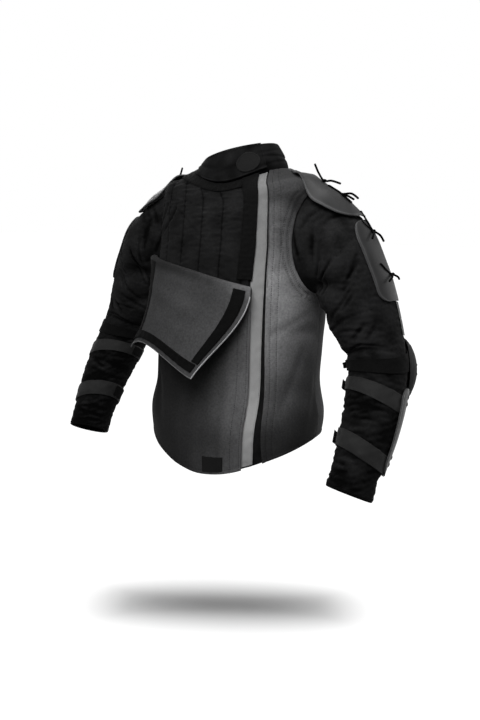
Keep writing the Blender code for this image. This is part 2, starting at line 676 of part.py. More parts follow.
def arm_plate(name, spec, side, material, collection):
    """A curved plate over the outside of the sleeve, with rounded corners."""
    length = (spec.end - spec.start) * STATION_STEP
    along, inset = rounded(length, spec.corner)
    along = spec.start + along / STATION_STEP
    across = np.linspace(-1, 1, 7)
    half_turn = (spec.half_width - inset) / PLATE_ARC
    turn = plate_middle(spec, along)[:, None] + half_turn[:, None] * across
    along = np.repeat(along[:, None], len(across), 1)
    points, out = sleeve(turn, along), arm_out(turn, along)
    inner = points + spec.lift * out
    return wall(name, mirrored(inner, side), mirrored(inner + PLATE * out, side), material, collection)


def shoulder_plate(name, side, material, collection):
    """A leaf-shaped plate from beside the neck, over the shoulder seam, to the top of the arm."""
    across = np.linspace(-1, 1, 9)
    coarse = []
    for row in SHOULDER_PLATE:
        turn = pi - radians(row.half_turn) * across
        if row.place <= 0:
            angle = armhole_angle(turn)
            level = armhole_level(turn)
            level = level + (NECK_LEVEL - NECK_MARGIN - level) * -row.place
            points, out = torso(angle, level), normals(torso, angle, level)
        else:
            along = np.full_like(turn, row.place)
            points, out = sleeve(turn, along), arm_out(turn, along)
        coarse.append(points + row.lift * out)
    coarse = np.stack(coarse)
    at = np.linspace(0, len(coarse) - 1, 12)
    inner = np.stack([eased(coarse, np.full(len(across), row)) for row in at])
    outer = inner + PLATE * grid_normals(inner)
    return wall(name, mirrored(inner, side), mirrored(outer, side), material, collection)


def elbow_cup(name, side, material, collection):
    """A domed guard over the point of the elbow."""
    u, v = np.meshgrid(np.linspace(-1, 1, 8), np.linspace(-1, 1, 8))
    turn = radians(CUP_TURN) + radians(CUP_HALF_TURN) * u * np.sqrt(1 - v**2 / 2)
    along = CUP_ALONG + CUP_HALF_LENGTH / STATION_STEP * v * np.sqrt(1 - u**2 / 2)
    spread = u**2 + v**2 - u**2 * v**2
    points, out = sleeve(turn, along), arm_out(turn, along)
    inner = points + (CUP_LIFT + CUP_RISE * (1 - spread) ** 0.8)[..., None] * out
    wall(name, mirrored(inner, side), mirrored(inner + PLATE * out, side), material, collection)


def rivets(name, side, material, collection):
    """Flat round rivet heads down the middle of the forearm plate."""
    spec = ARM_PLATES["forearm_plate"]
    for number, along in enumerate(RIVETS, 1):
        along = np.array([along])
        turn = plate_middle(spec, along)
        out = mirrored(arm_out(turn, along), side)[0]
        foot = mirrored(sleeve(turn, along), side)[0] + (spec.lift + PLATE + CLEAR) * out
        shape = bmesh.new()
        bmesh.ops.create_cone(
            shape, cap_ends=True, segments=RIVET_SIDES, depth=RIVET_HEIGHT,
            radius1=RIVET_RADIUS, radius2=RIVET_RADIUS * 0.8,
        )
        bmesh.ops.translate(shape, verts=shape.verts, vec=(0, 0, RIVET_HEIGHT / 2))
        mesh = bpy.data.meshes.new(f"{name}_{number}")
        shape.to_mesh(mesh)
        shape.free()
        rivet = solid(f"{name}_{number}", mesh, material, collection)
        rivet.location = foot
        rivet.rotation_mode = "QUATERNION"
        rivet.rotation_quaternion = Vector(out).to_track_quat("Z", "Y")


def lace(name, route, side, material, collection):
    """A short lace with a knot in its middle and a small one at each free end."""
    points = mirrored(np.array(route), side)
    at = np.linspace(0, len(points) - 1, LACE_STEPS + 1)
    middle = (len(points) - 1) / 2
    swell = 1 + (LACE_KNOT - 1) * (np.abs(at - middle) < 0.3)
    swell = swell + (LACE_TIP_KNOT - 1) * (np.abs(at - middle) > middle - 0.3)
    curve = bpy.data.curves.new(name, "CURVE")
    curve.dimensions = "3D"
    curve.bevel_depth = LACE / 2
    curve.bevel_resolution = 2
    curve.use_fill_caps = True
    spline = curve.splines.new("POLY")
    spline.points.add(LACE_STEPS)
    for point, place, radius in zip(spline.points, eased(points, at), swell):
        point.co = (*place, 1)
        point.radius = radius
    curve.materials.append(material)
    collection.objects.link(bpy.data.objects.new(name, curve))


def sleeve_strip(name, side, material, collection):
    """A light strip of hook tape down the outside of the sleeve, above the elbow."""
    turn, along = np.meshgrid(
        radians(STRIP_TURN) + STRIP_WIDTH / 2 / ARM_RADIUS * np.linspace(-1, 1, 3),
        np.linspace(*STRIP_ALONG, 6),
    )
    lifted = [sleeve_skin(turn, along, lift) for lift in (3 * CLEAR, 3 * CLEAR + TAPE)]
    wall(name, *(mirrored(points, side) for points in lifted), material, collection)


def make_finishes():
    """The materials of the jacket."""
    return {
        "shell": finish("shell_cloth", (0.085, 0.085, 0.087), 0.85),
        "black_cloth": finish("black_cloth", (0.012, 0.012, 0.013), 0.9),
        "tape": finish("black_tape", (0.007, 0.007, 0.008), 0.95),
        "light_tape": finish("light_tape", (0.34, 0.34, 0.34), 0.8),
        "strap": finish("elastic_strap", (0.022, 0.022, 0.023), 0.75),
        "plate": finish("hard_plate", (0.055, 0.055, 0.057), 0.38),
        "rivet": finish("rivet", (0.03, 0.03, 0.03), 0.35, 0.6),
        "patch": finish("woven_patch", (0.010, 0.010, 0.011), 0.7),
        "lace": finish("waxed_lace", (0.006, 0.006, 0.006), 0.6),
    }


def clear_scene():
    """Remove whatever the scene holds."""
    for item in list(bpy.data.objects):
        bpy.data.objects.remove(item)


def main():
    """Build the jacket."""
    clear_scene()
    collection = bpy.data.collections.new("fencing_jacket")
    bpy.context.scene.collection.children.link(collection)
    finishes = make_finishes()
    front_left(finishes["shell"], collection)
    front_right(finishes["shell"], collection)
    back(finishes["shell"], collection)
    flap_tapes(finishes["tape"], collection)
    chest_right(finishes["black_cloth"], collection)
    closure(finishes, collection)
    hem_patch(finishes["patch"], collection)
    collar(finishes, collection)
    for name, side in SIDES.items():
        sleeves(name, side, finishes, collection)
        for kind, spec in STRAPS.items():
            strap(f"{kind}_{name}", spec, side, finishes["strap"], collection)
        for kind, spec in ARM_PLATES.items():
            arm_plate(f"{kind}_{name}", spec, side, finishes["plate"], collection)
        shoulder_plate(f"shoulder_plate_{name}", side, finishes["plate"], collection)
        elbow_cup(f"elbow_cup_{name}", side, finishes["plate"], collection)
        sleeve_strip(f"sleeve_strip_{name}", side, finishes["light_tape"], collection)
        rivets(f"rivet_{name}", side, finishes["rivet"], collection)
        for kind, route in LACES.items():
            lace(f"lace_{kind}_{name}", route, side, finishes["lace"], collection)


if __name__ == "__main__":
    main()
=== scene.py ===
"""Looks of a padded jacket for historical fencing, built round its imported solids.

The jacket is filled out as if worn, with nobody in it. Frame: metres, +X the wearer's left, -Y the front,
+Z up. Each cloth piece is a wall between two grids of points, worked out from the same body and arm
surfaces as the solid that it stands for, with its creases, quilting and sewing added.
"""

from __future__ import annotations

import logging
from dataclasses import dataclass, field
from enum import Enum
from math import cos, pi, radians, sin
from typing import Iterable, NamedTuple, Sequence, Union

import bpy
import numpy as np
from mathutils import Matrix

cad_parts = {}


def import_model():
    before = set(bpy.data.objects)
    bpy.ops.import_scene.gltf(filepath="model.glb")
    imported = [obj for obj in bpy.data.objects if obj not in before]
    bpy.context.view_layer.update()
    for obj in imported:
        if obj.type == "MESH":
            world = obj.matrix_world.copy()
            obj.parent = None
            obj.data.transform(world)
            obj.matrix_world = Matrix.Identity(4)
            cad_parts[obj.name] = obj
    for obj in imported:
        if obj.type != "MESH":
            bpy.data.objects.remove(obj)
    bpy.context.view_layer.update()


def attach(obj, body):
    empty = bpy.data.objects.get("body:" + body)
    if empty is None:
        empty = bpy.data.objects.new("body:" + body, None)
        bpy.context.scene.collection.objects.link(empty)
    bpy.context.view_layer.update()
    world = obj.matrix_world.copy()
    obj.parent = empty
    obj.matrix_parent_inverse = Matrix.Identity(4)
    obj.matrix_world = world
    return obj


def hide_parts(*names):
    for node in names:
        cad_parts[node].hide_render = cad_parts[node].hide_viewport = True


LOG = logging.getLogger("fencing_jacket")
Object = bpy.types.Object
Array = np.ndarray
Fields = dict[str, Array]
BODY = "root"

# Thicknesses of cloth and plates, the gaps between layers, and how far each layer stands off the body.
SHELL, QUILT, TAPE, STRAP, PLATE = 0.003, 0.0036, 0.0011, 0.0015, 0.0026
SEAM, CLEAR, TAPE_CLEAR = 0.0004, 0.0003, 0.0011
SHELL_LIFT, OVERLAP_LIFT, CHEST_LIFT, SLEEVE_LIFT = 0.0018, 0.0062, 0.0006, 0.0008
STRIP_LIFT = TAPE + 0.0005


class Side(Enum):
    """The two sides of the wearer."""

    LEFT = 1
    RIGHT = -1

    @property
    def label(self) -> str:
        """The side's name in the names of nodes and pieces."""
        return self.name.lower()

    def place(self, points: Array) -> Array:
        """Points of the left side, or their mirror on the right."""
        return points * np.array([self.value, 1.0, 1.0])


class Held(str, Enum):
    """How a sheet of cloth is held."""

    STRETCHED = "stretched"
    FOLDED = "folded"


class Level(NamedTuple):
    """One level of the body: heights at front, side and back, half width, depths and squareness."""

    z_front: float
    z_side: float
    z_back: float
    half_width: float
    front: float
    back: float
    square: float


class Station(NamedTuple):
    """One section of the left arm: its centre, how it leans in degrees, and its half sizes."""

    x: float
    y: float
    z: float
    lean_out: float
    lean_fore: float
    across: float
    fore: float


class Crease(NamedTuple):
    """A soft trough, or a ridge where its depth is negative: its middle, heading and sizes in metres."""

    across: float
    along: float
    heading: float
    length: float
    width: float
    depth: float
    bend: float = 0.0


class CreaseRun(NamedTuple):
    """Fine creases one after another on a sleeve: the first and last one's place and heading, and sizes."""

    count: int
    first: tuple[float, float, float]
    last: tuple[float, float, float]
    length: float
    width: float
    depth: float

    def creases(self, seed: int) -> list[Crease]:
        """The run's creases, each a little uneven in place, heading, length and depth."""
        draw = np.random.default_rng(seed)
        share = np.linspace(0, 1, self.count)[:, None]
        rows = np.array(self.first) * (1 - share) + np.array(self.last) * share
        rows += draw.uniform(-1, 1, rows.shape) * [0.03, 0.08, 6]
        sizes = draw.uniform(0.75, 1.25, (self.count, 2)) * [self.length, self.depth]
        return [Crease(*row, length, self.width, depth) for row, (length, depth) in zip(rows, sizes)]


# How far in from an edge the sewing of a tape and of the collar's flap lies.
TAPE_INSET = 0.0022
FLAP_INSET = 0.004
# How near an armhole and a side seam the cloth of a body panel starts to lie flat.
ARMHOLE_CALM = 0.025
SIDE_CALM = 0.02
# How far the raised border of a patch stands up.
BORDER = 0.0004

TORSO = {
    "hem": Level(-0.614, -0.548, -0.588, 0.187, 0.157, 0.149, 2.2),
    "hip": Level(-0.532, -0.502, -0.520, 0.190, 0.158, 0.146, 2.2),
    "waist": Level(-0.448, -0.436, -0.444, 0.178, 0.144, 0.122, 2.2),
    "ribs": Level(-0.340, -0.335, -0.340, 0.181, 0.142, 0.128, 2.3),
    "chest": Level(-0.238, -0.240, -0.240, 0.180, 0.139, 0.132, 2.4),
    "breast": Level(-0.152, -0.150, -0.150, 0.177, 0.122, 0.126, 2.5),
    "shoulder": Level(-0.080, -0.044, -0.058, 0.174, 0.100, 0.102, 2.5),
    "yoke": Level(-0.057, -0.023, -0.026, 0.136, 0.092, 0.086, 2.4),
    "neck": Level(-0.038, -0.006, 0.002, 0.095, 0.082, 0.071, 2.3),
}
ARM = {
    "cap": Station(0.2255, 0.000, -0.1725, 64, 0, 0.0807, 0.087),
    "biceps": Station(0.2512, -0.002, -0.2202, 33, 2, 0.0705, 0.079),
    "mid_arm": Station(0.2743, -0.002, -0.2754, 24, 4, 0.0685, 0.073),
    "above_elbow": Station(0.301, -0.002, -0.333, 20, 10, 0.059, 0.065),
    "elbow": Station(0.317, -0.012, -0.378, 10, 24, 0.056, 0.061),
    "below_elbow": Station(0.324, -0.042, -0.426, 2, 34, 0.055, 0.057),
    "forearm": Station(0.327, -0.080, -0.483, -2, 34, 0.051, 0.052),
    "wrist": Station(0.325, -0.116, -0.540, -4, 32, 0.045, 0.046),
    "cuff": Station(0.321, -0.143, -0.588, -6, 30, 0.044, 0.045),
}


# Sums on arrays of points


def eased(rows: Array, at: Array) -> Array:
    """Points along smooth curves through a table.

    Each value is a cubic through the four nearest rows: twice the row before the place, plus the slope
    between its neighbours, and the two terms that make the curve pass through every row.

    Args:
        rows: The table, by row and column, or by row, spot and column.
        at: A row number for each point or spot, which need not be whole.

    Returns:
        One row of columns for each place.
    """
    last = len(rows) - 1
    at = np.clip(at, 0, last)
    row = np.minimum(at.astype(int), last - 1)
    t = (at - row)[:, None]
    spots = () if rows.ndim == 2 else (np.arange(len(at)),)
    before, start, end, after = (rows[(np.clip(row + step, 0, last), *spots)] for step in (-1, 0, 1, 2))
    return 0.5 * (
        2 * start
        + (end - before) * t
        + (2 * before - 5 * start + 4 * end - after) * t**2
        + (3 * start - before - 3 * end + after) * t**3
    )


def unit(vectors: Array) -> Array:
    """The vectors at length one."""
    return vectors / np.maximum(np.linalg.norm(vectors, axis=-1, keepdims=True), 1e-12)


def smooth(share: Array) -> Array:
    """A share from 0 to 1 with a soft start and end: three times its square less twice its cube."""
    share = np.clip(share, 0, 1)
    return share**2 * (3 - 2 * share)


def blended(at: Array, places: Sequence[float], values: Sequence[float]) -> Array:
    """Values at places along a line, with a soft step from each to the next."""
    number = np.interp(at, places, np.arange(len(places)))
    low = np.minimum(number.astype(int), len(places) - 2)
    table = np.array(values)
    return table[low] + (table[low + 1] - table[low]) * smooth(number - low)


def bell(distance: Array, width: float) -> Array:
    """One at distance 0, falling off as a bell curve over a width."""
    return np.exp(-((distance / width) ** 2))


def between(start: Array, end: Array, share: Array) -> Array:
    """A grid whose rows run from start to end through the shares."""
    return start[:, None] * (1 - share) + end[:, None] * share


def grid_normals(points: Array) -> Array:
    """Directions square to a grid of points, from the lines through each point's neighbours."""
    return unit(np.cross(np.gradient(points, axis=1), np.gradient(points, axis=0)))


def distance_to(points: Array, line: Array) -> Array:
    """The distance from each point to the nearest point of a densely drawn line."""
    flat = points.reshape(-1, 3)
    best = np.full(len(flat), np.inf)
    for part in np.array_split(line, max(1, len(line) // 60)):
        apart = np.linalg.norm(flat[:, None] - part[None], axis=-1)
        best = np.minimum(best, apart.min(axis=1))
    return best.reshape(points.shape[:-1])


def creased(across: Array, along: Array, creases: Sequence[Crease], turn: float | None = None) -> Array:
    """How far creases press a surface in.

    Each is a trough with a soft bank on either side: a bell curve across its line, less two fifths of a
    bell nearly twice as wide, fading at its ends with the fourth power of the way along it.

    Args:
        across: Distances across the piece, in metres.
        along: Distances down the piece, in metres.
        creases: The creases.
        turn: The distance round a tube, where across wraps round.

    Returns:
        The depth at each point.
    """
    depth = np.zeros(np.broadcast(across, along).shape)
    for crease in creases:
        sideways = across - crease.across
        if turn is not None:
            sideways = np.mod(sideways + turn / 2, turn) - turn / 2
        lengthwise = along - crease.along
        cosine, sine = cos(radians(crease.heading)), sin(radians(crease.heading))
        near = (sideways * cosine + lengthwise * sine) / crease.length
        away = lengthwise * cosine - sideways * sine - crease.bend * near**2
        trough = bell(away, crease.width) - 0.4 * bell(away, crease.width * 1.9)
        depth += crease.depth / 0.6 * np.exp(-(near**4)) * trough
    return depth


def uneven(points: Array, size: float, seed: int, waves: int = 14) -> Array:
    """Soft unevenness between about -1 and 1: a sum of sine waves in chance directions.

    Args:
        points: Where it is wanted.
        size: The mean distance between crests, in metres.
        seed: Picks the waves.
        waves: How many there are.

    Returns:
        One value for each point.
    """
    draw = np.random.default_rng(seed)
    heading = unit(draw.normal(size=(waves, 3)))
    pace = 2 * pi / (size * draw.uniform(0.7, 1.5, waves))
    phase = draw.uniform(0, 2 * pi, waves)
    total = np.zeros(points.shape[:-1])
    for way, step, start in zip(heading, pace, phase):
        total += np.sin(points @ way * step + start)
    return total / np.sqrt(waves / 2)


# The surfaces that the cloth lies on


@dataclass(frozen=True)
class BodyForm:
    """The body surface, from the hem (level 0) to the neck (level 8), and the lines cut on it."""

    closure: tuple[tuple[float, float], ...] = (
        (0, 0.104), (2, 0.107), (4, 0.109), (5, 0.106), (6, 0.096), (8, 0.073),
    )
    left_edge: tuple[tuple[float, float], ...] = ((0, 0.0250), (2, 0.0160), (4, 0.0125), (8, 0.0105))
    armpit: float = 3.95
    shoulder: float = 6.0
    neck: float = 8.0
    armhole_reach: float = radians(27)
    armhole_round: float = 0.8
    side_gap: float = SEAM / 2 / 0.180
    right_edge: float = -0.0120
    fold_at_armhole: float = 4.55
    fold_at_closure: float = 4.02
    roll_radius: float = 0.0055
    roll_turn: float = radians(164)
    shoulder_corner: tuple[float, float, float] = (-0.176, -0.160, -0.372)
    neck_corner: tuple[float, float, float] = (0.012, -0.207, -0.404)
    neck_hollow: float = 0.030
    side_hollow: float = 0.026
    forward: float = 0.014

    def rows(self, level: Array) -> Array:
        """The table's columns at each level."""
        return eased(np.array(list(TORSO.values())), np.ravel(level).astype(float))

    def point(self, angle: Array, level: Array) -> Array:
        """Points on the body: a squared ellipse at each level. Angle 0 is the front and grows leftwards."""
        angle, level = np.broadcast_arrays(angle, level)
        sine, cosine = np.sin(angle).ravel(), np.cos(angle).ravel()
        z_front, z_side, z_back, half_width, front, back, square = self.rows(level).T
        depth = np.where(cosine > 0, front, back)
        reach = (np.abs(sine / half_width) ** square + np.abs(cosine / depth) ** square) ** (-1 / square)
        ahead, behind = np.maximum(cosine, 0) ** 2, np.maximum(-cosine, 0) ** 2
        z = z_side + (z_front - z_side) * ahead + (z_back - z_side) * behind
        return np.stack([reach * sine, -reach * cosine, z], -1).reshape(*angle.shape, 3)

    def out(self, angle: Array, level: Array, step: float = 2e-3) -> Array:
        """Directions away from the body."""
        across = self.point(angle + step, level) - self.point(angle - step, level)
        along = self.point(angle, level + step) - self.point(angle, level - step)
        return unit(np.cross(across, along))

    def off(self, angle: Array, level: Array, lift: Array | float) -> Array:
        """Points a lift off the body."""
        lift = np.broadcast_to(lift, np.broadcast(angle, level).shape)
        return self.point(angle, level) + lift[..., None] * self.out(angle, level)

    def closure_angle(self, level: Array, beside: Array | float = 0.0) -> Array:
        """The angle of the closure at each level, moved sideways by beside."""
        x = np.interp(level, *np.array(self.closure).T) + beside
        row = self.rows(level)
        half_width, front, square = row[:, 3], row[:, 4], row[:, 6]
        flat = np.ravel(x)
        y = front * (1 - np.minimum(np.abs(flat) / half_width, 0.999) ** square) ** (1 / square)
        return np.arctan2(flat, y).reshape(np.shape(level))

    def left_edge_angle(self, level: Array, beside: float = 0.0) -> Array:
        """The angle of the left front's closure edge."""
        return self.closure_angle(level, np.interp(level, *np.array(self.left_edge).T) + beside)

    def armhole_level(self, turn: Array) -> Array:
        """The level that the armhole has at a turn, from 0 at the armpit to pi at the shoulder."""
        return self.armpit + (self.shoulder - self.armpit) * (1 - np.cos(turn)) / 2

    def armhole_angle(self, turn: Array) -> Array:
        """The angle of the left armhole's edge: ahead of the side seam, then behind it."""
        reach = np.where(np.sin(turn) >= 0, self.armhole_reach, -self.armhole_reach)
        return pi / 2 - reach * np.abs(np.sin(turn)) ** self.armhole_round

    def edge_angle(self, level: Array) -> Array:
        """The angle of a panel's side edge: the side seam, hollowed where the armhole is."""
        share = np.clip((level - self.armpit) / (self.shoulder - self.armpit), 0, 1)
        turn = np.arccos(1 - 2 * share)
        return pi / 2 - self.armhole_reach * np.sin(turn) ** self.armhole_round

    def levels(self, low: int, middle: int, high: int) -> Array:
        """Levels from hem to neck, closer together where the armhole turns."""
        rise = self.armhole_level(np.linspace(0, pi, middle + 1))
        return np.concatenate([
            np.linspace(0, self.armpit, low + 1),
            rise[1:],
            np.linspace(self.shoulder, self.neck, high + 1)[1:],
        ])

    def armhole_line(self, ahead: bool) -> Array:
        """A densely drawn line along the front or back half of the left armhole."""
        turn = np.linspace(0, pi, 260) * (1 if ahead else -1)
        return self.point(self.armhole_angle(turn), self.armhole_level(turn))

    def right_grid(self, share: Array, height: Array) -> tuple[Array, Array]:
        """Angles and levels of the right front: share runs to the closure, height from hem to fold."""
        level = (self.fold_at_armhole + (self.fold_at_closure - self.fold_at_armhole) * share) * height
        edge = -self.edge_angle(self.fold_at_armhole * height) + self.side_gap
        return edge * (1 - share) + self.closure_angle(level, self.right_edge) * share, level

    def overlap_lift(self, share: Array, height: Array) -> Array:
        """How far the right front stands off the body: more by the closure, and over the chest panel."""
        over = np.maximum(smooth(share / 0.30), smooth((height - 0.80) / 0.12))
        return SHELL_LIFT + (OVERLAP_LIFT - SHELL_LIFT) * over

    def roll(self, share: Array, turn: Array) -> tuple[Array, Array]:
        """Points round the rolled fold line, and the way the cloth heads there."""
        angle, level = self.right_grid(share, np.ones_like(share))
        out = self.out(angle, level)
        up = unit(self.point(angle, level + 0.01) - self.point(angle, level - 0.01))
        radius = self.roll_radius + SHELL
        centre = self.point(angle, level) + (OVERLAP_LIFT + radius) * out
        sine, cosine = np.sin(turn)[..., None], np.cos(turn)[..., None]
        return centre + radius * (up * sine - out * cosine), out * sine + up * cosine

    def flap(self, share: Array, drop: Array) -> Array:
        """The side of the folded-down flap that shows, from the roll (drop 0) to its free edge (1).

        Each line down it is a cubic that leaves the roll the way the cloth heads there and arrives at
        the free edge, which runs between two corners and bows up towards the armhole.
        """
        start, heading = self.roll(share, np.full_like(share, self.roll_turn))
        corner = np.array(self.shoulder_corner), np.array(self.neck_corner)
        bow = 6.75 * share * (1 - share) ** 2
        rise = np.array([0, -self.forward, self.neck_hollow])
        end = corner[0] + (corner[1] - corner[0]) * share[..., None] + rise * bow[..., None]
        length = np.linalg.norm(end - start, axis=-1, keepdims=True)
        t = drop[..., None]
        hollow = self.side_hollow * 4 * t * (1 - t) * ((1 - share) ** 3)[..., None] * np.array([1, 0, 0])
        return (
            hollow
            + start * (1 - t) ** 2 * (1 + 2 * t)
            + end * t**2 * (3 - 2 * t)
            + heading * length * t * (1 - t) ** 2
            - (end - start) * t**2 * (1 - t)
        )


@dataclass(frozen=True)
class ArmForm:
    """The left arm's surface, from the armhole (0) to the cuff (9). Turn 0 faces the body, pi outwards."""

    body: BodyForm
    radius: float = 0.06
    step: float = 0.058
    fold_start: float = 0.6
    main_folds: tuple[Crease, ...] = (
        Crease(0.30, 1.35, 62, 0.060, 0.016, 0.0060),
        Crease(0.46, 2.05, 50, 0.055, 0.016, 0.0050),
        Crease(0.16, 2.70, 35, 0.050, 0.015, 0.0050),
        Crease(0.34, 4.35, 4, 0.060, 0.013, 0.0070),
        Crease(1.48, 1.70, -50, 0.055, 0.016, 0.0050),
        Crease(1.62, 3.30, -22, 0.050, 0.015, 0.0045),
        Crease(0.45, 7.95, 8, 0.050, 0.011, 0.0035),
        Crease(1.30, 8.20, -6, 0.050, 0.011, 0.0035),
    )

    def armhole(self, turn: Array) -> Array:
        """The sleeve's first ring, drawn in a little from the armhole's edge."""
        angle, level = self.body.armhole_angle(turn), self.body.armhole_level(turn)
        edge = self.body.off(angle, level, SLEEVE_LIFT)
        middle = self.body.point(np.array(pi / 2), np.array((self.body.armpit + self.body.shoulder) / 2))
        return edge + 2 * SEAM * unit(middle - edge)

    def section(self, station: Station, turn: Array) -> Array:
        """An ellipse square to the arm's lean at one station."""
        out, fore = radians(station.lean_out), radians(station.lean_fore)
        down = np.array([sin(out), -cos(out) * sin(fore), -cos(out) * cos(fore)])
        inward = unit(np.array([-1.0, 0, 0]) + down[0] * down)
        forward = np.cross(inward, down)
        centre = np.array([station.x, station.y, station.z])
        cosine, sine = np.cos(turn)[..., None], np.sin(turn)[..., None]
        return centre + station.across * cosine * inward + station.fore * sine * forward

    def point(self, turn: Array, along: Array) -> Array:
        """Points on the arm, eased through the armhole and the sections."""
        turn, along = np.broadcast_arrays(turn, along)
        flat = turn.ravel().astype(float)
        rings = np.stack([self.armhole(flat)] + [self.section(station, flat) for station in ARM.values()])
        return eased(rings, along.ravel().astype(float)).reshape(*turn.shape, 3)

    def out(self, turn: Array, along: Array, step: float = 2e-3) -> Array:
        """Directions away from the middle of the arm."""
        across = self.point(turn + step, along) - self.point(turn - step, along)
        lengthwise = self.point(turn, along + step) - self.point(turn, along - step)
        return -unit(np.cross(across, lengthwise))

    def folded(self, turn: Array, along: Array, creases: Sequence[Crease]) -> Array:
        """How far creases, placed in half turns and stations, press the sleeve in."""
        placed = [
            fold._replace(across=fold.across * pi * self.radius, along=fold.along * self.step)
            for fold in creases
        ]
        depth = creased(turn * self.radius, along * self.step, placed, 2 * pi * self.radius)
        return depth * smooth(along / self.fold_start)

    def skin(self, turn: Array, along: Array, lift: Array | float) -> Array:
        """Points a lift off the sleeve's outside, with its main folds."""
        pressed = lift - self.folded(turn, along, self.main_folds)
        return self.point(turn, along) + pressed[..., None] * self.out(turn, along)


# Meshes


class Line(NamedTuple):
    """Points along a line that lies on a surface, and the way out of the surface at each."""

    points: Array
    out: Array


def walked(points: Array, axis: int) -> Array:
    """The distance walked along one axis of a grid of points, from its first row or column."""
    steps = np.linalg.norm(np.diff(points, axis=axis), axis=-1)
    start = np.zeros_like(np.take(steps, [0], axis=axis))
    return np.concatenate([start, np.cumsum(steps, axis=axis)], axis=axis)


def flat_size(points: Array) -> tuple[tuple[float, float], float]:
    """The flat cut of a grid of cloth: its greatest width and length, and its area.

    The area is the sum of the grid's cells, each the length of the cross product of its two sides.
    """
    width, length = walked(points, 1)[:, -1].max(), walked(points, 0)[-1].max()
    across, along = np.diff(points, axis=1)[:-1], np.diff(points, axis=0)[:, :-1]
    area = np.linalg.norm(np.cross(across, along), axis=-1).sum()
    low, high = 0.3 * width * length, width * length
    return (round(float(width), 4), round(float(length), 4)), float(np.clip(area, low, high))


def mesh_object(
    name: str,
    points: Array,
    groups: Sequence[Array],
    maps: Sequence[Array] | None = None,
    fields: Fields | None = None,
) -> Object:
    """A closed mesh as an object at the origin, with its faces turned outwards.

    Args:
        name: The piece's name.
        points: Its vertices.
        groups: Its faces, one array for each number of corners.
        maps: For each group, the place of every corner on the flat cloth, in metres.
        fields: A value for every vertex, by name.

    Returns:
        The object, linked to the scene.
    """
    volume = 0.0
    for faces in groups:
        for corner in range(1, faces.shape[1] - 1):
            sides = np.cross(points[faces[:, corner]], points[faces[:, corner + 1]])
            volume += float(np.einsum("ij,ij->", points[faces[:, 0]], sides))
    if volume < 0:
        groups = [faces[:, ::-1] for faces in groups]
        maps = None if maps is None else [place[:, ::-1] for place in maps]
    mesh = bpy.data.meshes.new(name)
    mesh.from_pydata(points.tolist(), [], [face for faces in groups for face in faces.tolist()])
    if maps is not None:
        layer = mesh.uv_layers.new(name="cloth")
        layer.data.foreach_set("uv", np.concatenate([place.ravel() for place in maps]))
    for label, values in (fields or {}).items():
        mesh.attributes.new(label, "FLOAT", "POINT").data.foreach_set("value", np.ravel(values))
    mesh.shade_smooth()
    made = bpy.data.objects.new(name, mesh)
    bpy.context.scene.collection.objects.link(made)
    return made


